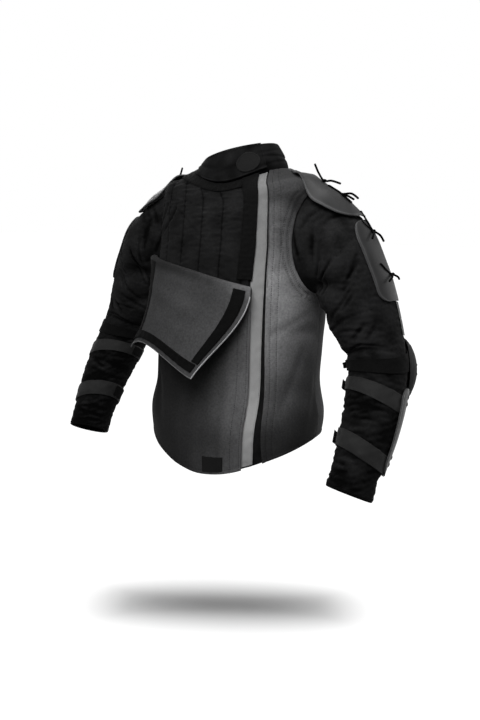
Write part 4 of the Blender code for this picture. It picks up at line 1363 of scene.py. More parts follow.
def hem_fold(distance: Array, width: float = 0.008, rise: float = 0.0005) -> Array:
    """How much thicker cloth is where its edge is turned in."""
    return rise * (1 - smooth((distance - width + 0.0015) / 0.003))


def sheet_of(
    piece: Object, grid: Array
) -> None:
    """Log the flat size and area of a piece's grid, as a sheet of cloth."""
    size, area = flat_size(grid)
    mm = [1000 * side for side in size]
    LOG.info("sheet %s is %.0f by %.0f mm, %.4f square metres", piece.name, *mm, area)


@dataclass(frozen=True)
class LeftFront:
    """The left front, from the closure to the side seam and armhole, and up to the shoulder seam."""

    closure_lines: tuple[float, ...] = (0.009, 0.0215)
    armhole_lines: tuple[float, ...] = (0.007, 0.0095, 0.017, 0.0195)
    hem_line: float = 0.0078
    # Painted light and shade up the panel, lighter on the chest and darker towards the hem, tuned against the
    # photograph's own brightness.
    light_at: tuple[float, ...] = (0.0, 0.05, 0.12, 0.20, 0.30, 0.375, 0.44, 0.49, 0.52)
    light: tuple[float, ...] = (0.14, 0.17, 0.45, 0.92, 1.35, 1.95, 1.12, 0.70, 0.24)
    creases: tuple[Crease, ...] = (
        Crease(0.030, 0.470, 3, 0.050, 0.007, 0.0016),
        Crease(0.022, 0.448, -4, 0.035, 0.006, 0.0013),
        Crease(0.070, 0.400, 24, 0.060, 0.012, 0.0020),
        Crease(0.100, 0.330, -28, 0.055, 0.014, 0.0022),
        Crease(0.045, 0.262, 10, 0.045, 0.010, 0.0014),
        Crease(0.095, 0.235, -14, 0.060, 0.013, 0.0020),
        Crease(0.060, 0.150, 66, 0.070, 0.014, 0.0018),
        Crease(0.110, 0.095, 78, 0.060, 0.013, -0.0016),
    )

    def build(self, kit: Kit) -> None:
        """Make the panel and its sewing."""
        form = kit.body
        levels = form.levels(70, 86, 16)
        share = np.concatenate([np.linspace(0, 0.16, 15)[:-1], np.linspace(0.16, 1, 58)])
        angle = between(form.left_edge_angle(levels), form.edge_angle(levels) - form.side_gap, share)
        level = np.repeat(levels[:, None], angle.shape[1], 1)
        points, out = form.point(angle, level), form.out(angle, level)
        across, along = walked(points, 1), walked(points, 0)
        armhole = distance_to(points, form.armhole_line(True))
        side = across[:, -1:] - across
        calm = smooth(armhole / ARMHOLE_CALM) * smooth(side / SIDE_CALM) * smooth(across / 0.012)
        pressed = (creased(across, along, self.creases) + 0.0007 * uneven(points, 0.07, 3)) * calm
        relief = hem_fold(along) + 0.5 * hem_fold(across) - groove(across, points, self.closure_lines, 5)
        relief -= groove(armhole, points, self.armhole_lines, 8) + groove(along, points, [self.hem_line], 11)
        inner = points + (SHELL_LIFT - pressed)[..., None] * out
        outer = inner + (SHELL + relief)[..., None] * out
        # Painted light and shade: lighter on the chest, darker towards the hem and the side seam, with a thin
        # lighter line along the armhole.
        light = blended(along, self.light_at, self.light) * (1 - 0.6 * (1 - smooth(side / 0.11)))
        light *= 1 + 0.10 * uneven(points, 0.11, 13) + 0.15 * bell(armhole, 0.003)
        worn = np.maximum(light - 1, -0.95)
        made = wall("front_left_cloth", inner, outer, fields={"worn": worn})
        kit.dress(made, Slot.SHELL, "front_left")
        lines = [follow(outer, out, across, place) for place in self.closure_lines]
        flipped = [grid[:, ::-1] for grid in (outer, out, armhole)]
        lines += [follow(*flipped, place) for place in self.armhole_lines]
        lines.append(follow(*crosswise(outer, out), along.T, self.hem_line))
        sewing = kit.dress(Stitch().sew("front_left_sewing", lines), Slot.SHELL, finish="seam")
        sheet_of(made, points)


@dataclass(frozen=True)
class Back:
    """The back, from one side seam to the other, and over the shoulders to the neck."""

    armhole_lines: tuple[float, ...] = (0.016, 0.024)
    hem_line: float = 0.0078
    creases: tuple[Crease, ...] = (
        Crease(0.14, 0.47, 20, 0.080, 0.014, 0.0022),
        Crease(0.40, 0.46, -24, 0.085, 0.015, 0.0024),
        Crease(0.20, 0.39, 8, 0.070, 0.012, 0.0016),
        Crease(0.36, 0.37, -6, 0.065, 0.013, 0.0017),
        Crease(0.12, 0.24, -18, 0.060, 0.014, 0.0024),
        Crease(0.43, 0.22, 16, 0.065, 0.014, 0.0022),
        Crease(0.27, 0.19, 2, 0.075, 0.012, 0.0014),
        Crease(0.18, 0.12, 74, 0.080, 0.017, 0.0018),
        Crease(0.38, 0.11, 102, 0.075, 0.017, 0.0020),
    )

    def build(self, kit: Kit) -> None:
        """Make the panel and its sewing."""
        form = kit.body
        levels = form.levels(46, 58, 20)
        edge = form.edge_angle(levels) - form.side_gap
        angle = between(pi - edge, pi + edge, np.linspace(0, 1, 124))
        level = np.repeat(levels[:, None], angle.shape[1], 1)
        points, out = form.point(angle, level), form.out(angle, level)
        across, along = walked(points, 1), walked(points, 0)
        line = form.armhole_line(False)
        holes = [distance_to(points, side.place(line)) for side in Side]
        armhole = np.minimum(*holes)
        side = np.minimum(across, across[:, -1:] - across)
        calm = smooth(armhole / ARMHOLE_CALM) * smooth(side / SIDE_CALM)
        pressed = (creased(across, along, self.creases) + 0.0008 * uneven(points, 0.09, 23)) * calm
        relief = hem_fold(along) - groove(along, points, [self.hem_line], 27)
        relief -= groove(armhole, points, self.armhole_lines, 25)
        inner = points + (SHELL_LIFT - pressed)[..., None] * out
        outer = inner + (SHELL + relief)[..., None] * out
        worn = 0.15 * bell(along, 0.002) + 0.05 * uneven(points, 0.12, 29) - 0.62
        made = kit.dress(wall("back_cloth", inner, outer, fields={"worn": worn}), Slot.SHELL, "back")
        lines = [follow(*crosswise(outer, out), along.T, self.hem_line)]
        half = points.shape[1] // 2
        for place in self.armhole_lines:
            lines.append(follow(outer[:, :half], out[:, :half], holes[0][:, :half], place))
            lines.append(follow(outer[:, :half:-1], out[:, :half:-1], holes[1][:, :half:-1], place))
        sewing = kit.dress(Stitch().sew("back_sewing", lines), Slot.SHELL, finish="seam")
        sheet_of(made, points)


@dataclass(frozen=True)
class RightFront:
    """The right front as one sheet: up from the hem, over the rolled fold, and down as the open flap."""

    closure_lines: tuple[float, ...] = (0.005, 0.023)
    armhole_lines: tuple[float, ...] = (0.016, 0.024)
    hem_line: float = 0.0078
    across_steps: int = 90
    # Painted light and shade across the panel, lighter by the closure and darker towards the side seam, tuned
    # against the photograph's own brightness.
    light_at: tuple[float, ...] = (0.0, 0.03, 0.055, 0.09, 0.13, 0.17, 0.24)
    light: tuple[float, ...] = (0.69, 0.55, 0.32, 0.20, 0.12, 0.08, 0.05)
    piping: float = 0.0016
    facing: tuple[float, float] = (0.090, 0.165)
    creases: tuple[Crease, ...] = (
        Crease(0.060, 0.060, 80, 0.050, 0.012, 0.0014),
        Crease(0.150, 0.090, 70, 0.060, 0.016, 0.0022),
        Crease(0.235, 0.120, 62, 0.060, 0.016, 0.0026),
        Crease(0.270, 0.190, 34, 0.055, 0.014, 0.0028),
        Crease(0.220, 0.215, 18, 0.050, 0.012, 0.0020),
    )
    flap_creases: tuple[Crease, ...] = (
        Crease(0.060, 0.050, 8, 0.060, 0.013, 0.0012),
        Crease(0.150, 0.075, -30, 0.060, 0.017, 0.0014),
        Crease(0.090, 0.085, 60, 0.040, 0.014, -0.0010),
    )

    def grid(self, form: BodyForm) -> tuple[Array, int, int]:
        """The sheet's inner points, and the rows at which its roll and its flap start."""
        share = np.linspace(0, 1, self.across_steps)
        levels = form.levels(68, 80, 2)
        levels = levels[levels < form.fold_at_armhole - 0.02]
        height = np.append(levels, form.fold_at_armhole) / form.fold_at_armhole
        share_up, height = np.meshgrid(share, height)
        angle, level = form.right_grid(share_up, height)
        upper = form.off(angle, level, form.overlap_lift(share_up, height))
        rolled, _ = form.roll(*np.meshgrid(share, np.linspace(0, form.roll_turn, 15)[1:]))
        down = form.flap(*np.meshgrid(share, np.linspace(0, 1, 62)[1:]))
        return np.concatenate([upper, rolled, down]), len(upper), len(upper) + len(rolled)

    def build(self, kit: Kit) -> None:
        """Make the sheet, the piping on the flap's free edges, and the sewing."""
        form = kit.body
        points, roll, flap = self.grid(form)
        out = grid_normals(points)
        across, along = walked(points[:, ::-1], 1)[:, ::-1], walked(points, 0)
        dropped = along - along[flap : flap + 1]
        armhole = distance_to(points, Side.RIGHT.place(form.armhole_line(True)))
        armhole[roll:] = 1.0
        side = across[:, :1] - across
        on_flap = smooth(dropped / 0.02)
        below = smooth((along[roll : roll + 1] - along) / 0.05)
        calm = smooth(armhole / ARMHOLE_CALM) * smooth(side / SIDE_CALM) * below * smooth(across / 0.02)
        pressed = (creased(across, along, self.creases) + 0.0007 * uneven(points, 0.08, 43)) * calm
        free = smooth((along[-1:] - along) / 0.03) * smooth((across - 0.030) / 0.03)
        waves = creased(side, dropped, self.flap_creases) + 0.0007 * uneven(points, 0.06, 47)
        pressed += 0.8 * waves * on_flap * free
        relief = hem_fold(along) - groove(across, points, self.closure_lines, 45)
        relief -= groove(armhole, points, self.armhole_lines, 48) + groove(along, points, [self.hem_line], 51)
        relief[roll:] = 0
        inner = points - pressed[..., None] * out
        outer = inner + (SHELL + relief)[..., None] * out
        # Painted light and shade: lighter by the closure, darker towards the side seam and on the flap, with
        # a thin lighter line along the hem.
        light = blended(across, self.light_at, self.light) * (1 - on_flap)
        light += (0.33 - 0.14 * smooth(across / 0.2)) * on_flap
        light = light * (1 + 0.12 * uneven(points, 0.11, 53) + 0.5 * bell(along, 0.0015))
        worn = np.maximum(light - 1, -0.95)
        made = wall("front_right_cloth", inner, outer, fields={"worn": worn})
        kit.dress(made, Slot.SHELL, "front_right")
        flipped = [grid[:roll, ::-1] for grid in (outer, out, across)]
        lines = [follow(*flipped, place) for place in self.closure_lines]
        lines += [follow(outer[:roll], out[:roll], armhole[:roll], place) for place in self.armhole_lines]
        lines.append(follow(*crosswise(outer[:roll], out[:roll]), along[:roll].T, self.hem_line))
        sewing = kit.dress(Stitch().sew("front_right_sewing", lines), Slot.SHELL, finish="seam")
        edge = (inner + outer)[flap + 3 :, :] / 2
        # The flap's armhole-side and free edges take the dark copy of the piping cloth and its closure edge
        # the light copy: painted shade and painted light.
        for label, rim in (("shade", np.concatenate([edge[:, 0], edge[-1, 1:]])), ("light", edge[::-1, -1])):
            rim = spaced(rim, 0.003)
            way = unit(np.gradient(rim, axis=0))
            up = unit(np.cross(way, [0.0, 0.35, 1.0]))
            trim = tube(f"flap_piping_{label}", rim, self.piping, sides=12, up=up)
            kit.dress(trim, Slot.LIGHT, finish="piping" if label == "light" else "piping_shade")
        share, drop = np.meshgrid(np.linspace(*self.facing, 10), np.linspace(0.0, 0.85, 110))
        facing = form.flap(share, drop)
        way = -grid_normals(facing)
        band = wall("flap_facing", facing + TAPE_CLEAR * way, facing + (TAPE_CLEAR + 0.5 * TAPE) * way)
        kit.dress(band, Slot.TAPE)
        sheet_of(made, points)


@dataclass(frozen=True)
class FlapTapes:
    """Two black fastening tapes on the flap: one along its free edge and one along its closure edge."""

    spans: tuple[tuple[str, float, float, float, float], ...] = (
        ("flap_tape_end", 0.04, 0.96, 0.86, 0.95),
        ("flap_tape_side", 0.898, 0.972, 0.02, 0.845),
    )

    def build(self, kit: Kit) -> None:
        """Make both tapes with a row of sewing round each."""
        for name, low, high, top, end in self.spans:
            wide = high - low > end - top
            counts = (120, 14) if wide else (14, 110)
            share, drop = np.meshgrid(np.linspace(low, high, counts[0]), np.linspace(top, end, counts[1]))
            points = kit.body.flap(share, drop)
            out = -grid_normals(points)
            ripple = 0.00025 * uneven(points, 0.012, 61)
            inner = points + TAPE_CLEAR * out
            outer = inner + (TAPE + ripple)[..., None] * out
            tape = kit.dress(wall(f"{name}_cloth", inner, outer), Slot.TAPE, name)
            lines = inset_lines(outer, out, TAPE_INSET) + inset_lines(*crosswise(outer, out), TAPE_INSET)
            sewing = Stitch(pitch=0.0036, length=0.003).sew(f"{name}_sewing", lines)
            kit.dress(sewing, Slot.TAPE, finish="thread")
            sheet_of(tape, points)


@dataclass(frozen=True)
class Chest:
    """The quilted layer of the right chest, which the folded front leaves bare, and its two tapes."""

    # How much darker the folds are painted per metre of depth: painted shade.
    press_shade: float = 200
    pucker: float = 0.0006
    seam_depth: float = 0.0006
    edge: float = -0.0195
    fold_under: float = 0.955
    channel: float = 0.048
    channel_shift: float = 0.033
    depth: float = 0.0014
    folds: tuple[Crease, ...] = (
        Crease(0.038, 0.100, 47, 0.056, 0.0036, 0.0038),
        Crease(0.022, 0.116, 52, 0.040, 0.0036, 0.0030),
        Crease(0.012, 0.128, 58, 0.034, 0.0040, 0.0028),
        Crease(0.010, 0.080, 44, 0.022, 0.0040, 0.0024),
        Crease(0.006, 0.045, 70, 0.024, 0.0040, 0.0020),
        Crease(0.085, 0.132, -28, 0.020, 0.0030, 0.0014),
        Crease(0.098, 0.120, -22, 0.018, 0.0030, 0.0013),
        Crease(0.112, 0.108, -18, 0.016, 0.0030, 0.0011),
        Crease(0.130, 0.128, 14, 0.016, 0.0030, 0.0011),
        Crease(0.075, 0.085, 8, 0.018, 0.0030, 0.0010),
    )
    row_step: float = 0.012
    side_from: tuple[float, float] = (-0.0420, -0.0300)
    side_to: tuple[float, float] = (-0.0130, -0.0030)
    top_band: tuple[float, float] = (7.15, 7.88)
    top_start: float = radians(12)

    def grid(self, form: BodyForm, share: Array, rows: int) -> tuple[Array, Array]:
        """Angles and levels of the panel, from behind the roll up to the neck."""
        low = self.fold_under * form.fold_at_armhole
        rise = form.levels(4, rows, rows // 3)
        rise = rise[np.unique(np.floor(rise / self.row_step), return_index=True)[1]]
        levels = np.concatenate([[low], rise[rise > low + 0.02]])
        slope = self.fold_under * (form.fold_at_armhole - form.fold_at_closure)
        above = ((form.neck - levels) / (form.neck - low)) ** 2
        level = levels[:, None] - slope * above[:, None] * share
        edge = -form.edge_angle(levels) + form.side_gap
        return edge[:, None] * (1 - share) + form.closure_angle(level, self.edge) * share, level

    def build(self, kit: Kit) -> None:
        """Make the quilted panel, its channels' sewing, and the tapes."""
        form = kit.body
        angle, level = self.grid(form, np.linspace(0, 1, 152), 112)
        points, out = form.point(angle, level), form.out(angle, level)
        across, along = walked(points, 1), walked(points, 0)
        beside = across[:, -1:] - across
        grown = smooth((level - level[0]) / 0.4)
        channel = (beside + self.channel_shift) / self.channel
        pads = np.abs(np.sin(pi * channel)) ** 0.6
        seam = np.abs(np.mod(channel + 0.5, 1) - 0.5) * self.channel
        puckers = uneven(points * [0.25, 0.25, 1.0], 0.0055, 71) * (0.25 + 0.75 * bell(seam, 0.010))
        puckers = puckers - np.abs(uneven(points * [0.3, 0.3, 1.0], 0.012, 72))
        sewn_in = self.seam_depth * bell(seam, 0.0015)
        relief = (self.depth * pads + self.pucker * puckers - sewn_in) * grown
        pressed = np.maximum(creased(across, along, self.folds), -0.0008) * grown * smooth(across / 0.006)
        inner = points + (CHEST_LIFT - pressed)[..., None] * out
        outer = inner + (QUILT + relief)[..., None] * out
        # Painted light and shade: lighter on the pads and puckers, darker between them, in the folds and
        # along the quilting seams.
        worn = 0.2 * uneven(points, 0.05, 73) + 0.3 * (pads - 0.4) + 0.15 * puckers * grown
        worn -= self.press_shade * pressed
        worn -= 0.8 * bell(seam, 0.0014)
        made = kit.dress(wall("chest_quilt", inner, outer, fields={"worn": worn}), Slot.BLACK, "chest_right")
        flipped = outer[:, ::-1], out[:, ::-1], beside[:, ::-1]
        places = np.arange(1, 8) * self.channel - self.channel_shift
        lines = [follow(*flipped, place) for place in places if place < beside.max()]
        sewing = Stitch(pitch=0.0040, width=0.0010, height=0.0006).sew("chest_sewing", lines)
        kit.dress(sewing, Slot.BLACK, finish="thread")
        self.tapes(kit)

    def tapes(self, kit: Kit) -> None:
        """Make the tape down the panel's edge and the one under the collar."""
        form = kit.body
        lift = CHEST_LIFT + QUILT + self.depth + CLEAR
        levels = form.levels(78, 60, 4)
        levels = levels[levels > form.fold_at_closure + 0.2]
        levels = np.interp(np.linspace(0, len(levels) - 1, 120), np.arange(len(levels)), levels)
        spans = [np.interp(levels, [4, 8], edges) for edges in (self.side_from, self.side_to)]
        angle = between(*(form.closure_angle(levels, span) for span in spans), np.linspace(0, 1, 14))
        level = np.repeat(levels[:, None], 14, 1)
        self.tape(kit, "chest_tape_side", angle, level, lift)
        top = np.linspace(*self.top_band, 16)
        end = form.closure_angle(top, np.interp(top, [4, 8], self.side_from) - 2 * SEAM)
        angle = between(np.full_like(top, self.top_start - pi / 2), end, np.linspace(0, 1, 120))
        self.tape(kit, "chest_tape_top", angle, np.repeat(top[:, None], 120, 1), lift + 2 * SEAM)

    def tape(self, kit: Kit, name: str, angle: Array, level: Array, lift: float) -> None:
        """Make one tape with sewing along both of its long edges."""
        points, out = kit.body.point(angle, level), kit.body.out(angle, level)
        inner = points + lift * out
        outer = inner + (TAPE + 0.0003 * uneven(points, 0.010, 77))[..., None] * out
        made = kit.dress(wall(f"{name}_cloth", inner, outer), Slot.TAPE, name)
        wide = angle.shape[1] > angle.shape[0]
        lines = inset_lines(*(crosswise(outer, out) if wide else (outer, out)), TAPE_INSET)
        sewing = kit.dress(Stitch().sew(f"{name}_sewing", lines), Slot.TAPE, finish="thread")
        sheet_of(made, points)


@dataclass(frozen=True)
class Closure:
    """The pieces down the closure: the black underlap and the light strip on it."""

    under: tuple[float, float] = (-0.0190, 0.0340)
    under_top: float = 7.92
    strip: tuple[float, float] = (-0.0150, 0.0080)
    strip_bottom: float = 0.09
    join: float = 5.05
    join_step: float = 0.0004

    def band(self, kit: Kit, edges: tuple[float, float], levels: Array, columns: int) -> tuple[Array, Array]:
        """Points and outward directions of a band between two distances beside the closure."""
        angle = between(*(kit.body.closure_angle(levels, edge) for edge in edges), np.linspace(0, 1, columns))
        level = np.repeat(levels[:, None], columns, 1)
        return kit.body.point(angle, level), kit.body.out(angle, level)

    def build(self, kit: Kit) -> None:
        """Make both bands."""
        levels = np.linspace(0, self.under_top, 160)
        points, out = self.band(kit, self.under, levels, 12)
        soft = 0.0003 * uneven(points, 0.02, 81)
        outer = points + (TAPE + np.minimum(soft, 0.0003))[..., None] * out
        # Painted shade: the underlap is darker in its dips and lighter on its rises.
        made = wall("underlap_cloth", points, outer, fields={"worn": soft * 500})
        kit.dress(made, Slot.BLACK, "underlap")
        sheet_of(made, points)
        levels = np.linspace(self.strip_bottom, self.under_top, 200)
        points, out = self.band(kit, self.strip, levels, 14)
        step = self.join_step * smooth((levels - self.join) / 0.02)[:, None]
        ripple = 0.0002 * uneven(points, 0.016, 83)
        inner = points + STRIP_LIFT * out
        outer = inner + (TAPE + ripple + step)[..., None] * out
        # The strip is lighter towards the bottom.
        worn = np.repeat(0.95 - 1.25 * smooth((levels - 1.0) / 5.5)[:, None], 14, 1)
        made = wall("closure_strip_cloth", inner, outer, fields={"worn": worn})
        kit.dress(made, Slot.LIGHT, "closure_strip")
        lines = inset_lines(outer, out, TAPE_INSET)
        sewing = kit.dress(Stitch(width=0.0006, height=0.0003).sew("closure_strip_sewing", lines), Slot.LIGHT)
        sheet_of(made, points)


@dataclass(frozen=True)
class HemPatch:
    """A plain square woven patch low on the right front."""

    share: tuple[float, float] = (0.775, 0.900)
    height: tuple[float, float] = (0.030, 0.130)

    def build(self, kit: Kit) -> None:
        """Make the patch with a raised border."""
        share, height = np.meshgrid(np.linspace(*self.share, 40), np.linspace(*self.height, 40))
        angle, level = kit.body.right_grid(share, height)
        u, v = np.meshgrid(np.linspace(-1, 1, 40), np.linspace(-1, 1, 40))
        border = smooth((np.maximum(abs(u), abs(v)) - 0.84) / 0.08) * BORDER
        lift = kit.body.overlap_lift(share, height) + SHELL + 3 * CLEAR
        inner, outer = (kit.body.off(angle, level, lift + more) for more in (0.0, TAPE + border))
        made = kit.dress(wall("hem_patch_cloth", inner, outer), Slot.PATCH, "hem_patch")
        sheet_of(made, inner)


@dataclass(frozen=True)
class Collar:
    """The padded standing collar, the flap that closes round its front, and a plain round patch."""

    # How much darker the folds are painted per metre of depth: painted shade.
    press_shade: float = 120
    flap_border: float = 0.0008
    top: float = 0.023
    back_rise: float = 0.012
    left_rise: float = 0.016
    top_width: float = 0.073
    top_depth: float = 0.073
    wall: float = 0.0045
    top_y: float = -0.008
    bulge: float = 0.004
    flap: float = 0.0036
    flap_span: tuple[float, float] = (radians(-128), radians(57))
    low: float = 0.11
    low_side: float = 0.16
    high: float = 1.03
    flare: float = 0.0030
    flare_share: float = 0.6
    height: float = 0.062
    patch_radius: float = 0.0180
    patch_at: float = radians(36)
    patch_share: float = 0.52
    folds: tuple[Crease, ...] = (
        Crease(0.095, 0.020, 4, 0.040, 0.0045, 0.0016),
        Crease(0.110, 0.033, -6, 0.045, 0.0040, 0.0018),
        Crease(0.090, 0.046, 3, 0.035, 0.0040, 0.0014),
        Crease(0.020, 0.030, 12, 0.035, 0.0050, 0.0010),
        Crease(-0.045, 0.038, -9, 0.040, 0.0050, 0.0012),
        Crease(-0.100, 0.024, 6, 0.040, 0.0050, 0.0014),
        Crease(0.180, 0.030, 4, 0.050, 0.0050, 0.0012),
    )

    def out(self, angle: Array) -> Array:
        """The level direction away from the neck."""
        return np.stack([np.sin(angle), -np.cos(angle), np.zeros_like(angle)], -1)

    def surface(self, form: BodyForm, angle: Array, rise: Array) -> Array:
        """Points on the collar's outside: straight from the neck to the top rim, plus a bulge."""
        base = form.point(angle, np.full(angle.shape, form.neck))
        sine, cosine = np.sin(angle), np.cos(angle)
        height = self.top + self.back_rise * (1 - cosine) / 2 + self.left_rise * sine
        top = np.stack([self.top_width * sine, self.top_y - self.top_depth * cosine, height], -1)
        t = rise[..., None]
        return base + (top - base) * t + self.bulge * np.sin(pi * t) * self.out(angle)

    def off(self, form: BodyForm, angle: Array, rise: Array, lift: Array | float) -> Array:
        """Points a lift off the collar, which flares out lower down to clear the body's cloth."""
        lift = lift + self.flare * (1 - smooth(rise / self.flare_share))
        lift = np.broadcast_to(lift, angle.shape)[..., None]
        return self.surface(form, angle, rise) + lift * self.out(angle)

    def wrinkles(self, angle: Array, rise: Array) -> Array:
        """How far the collar's folds press its outside in."""
        return creased(angle * self.top_width, rise * self.height, self.folds)

    def build(self, kit: Kit) -> None:
        """Make the collar, its flap and its patch."""
        form = kit.body
        angle, rise = np.meshgrid(np.arange(144) * pi / 72, np.linspace(0, 1, 36))
        outer = self.surface(form, angle, rise)
        inner = outer - self.wall * self.out(angle)
        turned = np.mod(angle + pi, 2 * pi) - pi
        bare = (turned < self.flap_span[0]) | (turned > self.flap_span[1])
        press = np.where(bare, np.maximum(self.wrinkles(turned, rise), 0), 0) * np.sin(pi * rise)
        # Painted shade in the folds and towards the pad's foot; the pad is also darker all over.
        worn = 0.2 * uneven(outer, 0.03, 91) - 0.5 - self.press_shade * press - 0.5 * (1 - smooth(rise / 0.4))
        outer = outer - press[..., None] * self.out(angle)
        made = wall("collar_pad", inner, outer, ring=True, fields={"worn": worn})
        kit.dress(made, Slot.BLACK, "collar")

        angle, share = np.meshgrid(np.linspace(*self.flap_span, 120), np.linspace(0, 1, 38))
        low = self.low + self.low_side * np.sin(angle) ** 2
        rise = low + (self.high - low) * share
        press = self.wrinkles(angle, rise)
        border = self.flap_border * bell(share, 0.05) + self.flap_border * bell(1 - share, 0.05)
        inner = self.off(form, angle, rise, 3 * CLEAR)
        outer = self.off(form, angle, rise, 3 * CLEAR + self.flap + border - np.clip(press, -0.001, 0.0022))
        # Painted shade in the folds, and lighter along the flap's top and bottom edges.
        worn = 0.2 * uneven(outer, 0.03, 93) + 0.3 * (bell(share, 0.04) + bell(1 - share, 0.04))
        worn = worn - 0.4 - self.press_shade * press
        made = wall("collar_flap_pad", inner, outer, fields={"worn": worn})
        kit.dress(made, Slot.BLACK, "collar_flap")
        out = grid_normals(outer)
        out = out * np.sign((out * self.out(angle)).sum(-1, keepdims=True))
        lines = inset_lines(outer, out, FLAP_INSET) + inset_lines(*crosswise(outer, out), FLAP_INSET)
        kit.dress(Stitch().sew("collar_sewing", lines), Slot.BLACK, finish="thread")
        self.patch(kit)

    def patch(self, kit: Kit) -> None:
        """Make the round patch with a raised border, and nothing on it."""
        u, v = np.meshgrid(np.linspace(-1, 1, 44), np.linspace(-1, 1, 44))
        angle = self.patch_at + self.patch_radius / self.top_width * u * np.sqrt(1 - v**2 / 2)
        rise = self.patch_share + self.patch_radius / self.height * v * np.sqrt(1 - u**2 / 2)
        centre_out = np.sqrt(np.clip(u**2 + v**2 - u**2 * v**2, 0, 1))
        border = BORDER * smooth((centre_out - 0.86) / 0.06)
        lift = self.flap + 5 * CLEAR
        inner, outer = (self.off(kit.body, angle, rise, lift + more) for more in (0.0, TAPE + border))
        made = kit.dress(wall("collar_patch_cloth", inner, outer), Slot.PATCH, "collar_patch")
        sheet_of(made, inner)


class Strap(NamedTuple):
    """A band round the sleeve: its station, its slants fore and out in stations, its width and lift."""

    along: float
    fore_tilt: float
    out_tilt: float
    width: float
    lift: float


class ArmPlate(NamedTuple):
    """A plate on the arm: stations, turns in degrees at both ends, half width, corner and lift."""

    start: float
    end: float
    turn_top: float
    turn_end: float
    half_width: float
    corner: float
    lift: float


class PlateRow(NamedTuple):
    """A row of the shoulder plate: its place, half turn in degrees and lift."""

    place: float
    half_turn: float
    lift: float


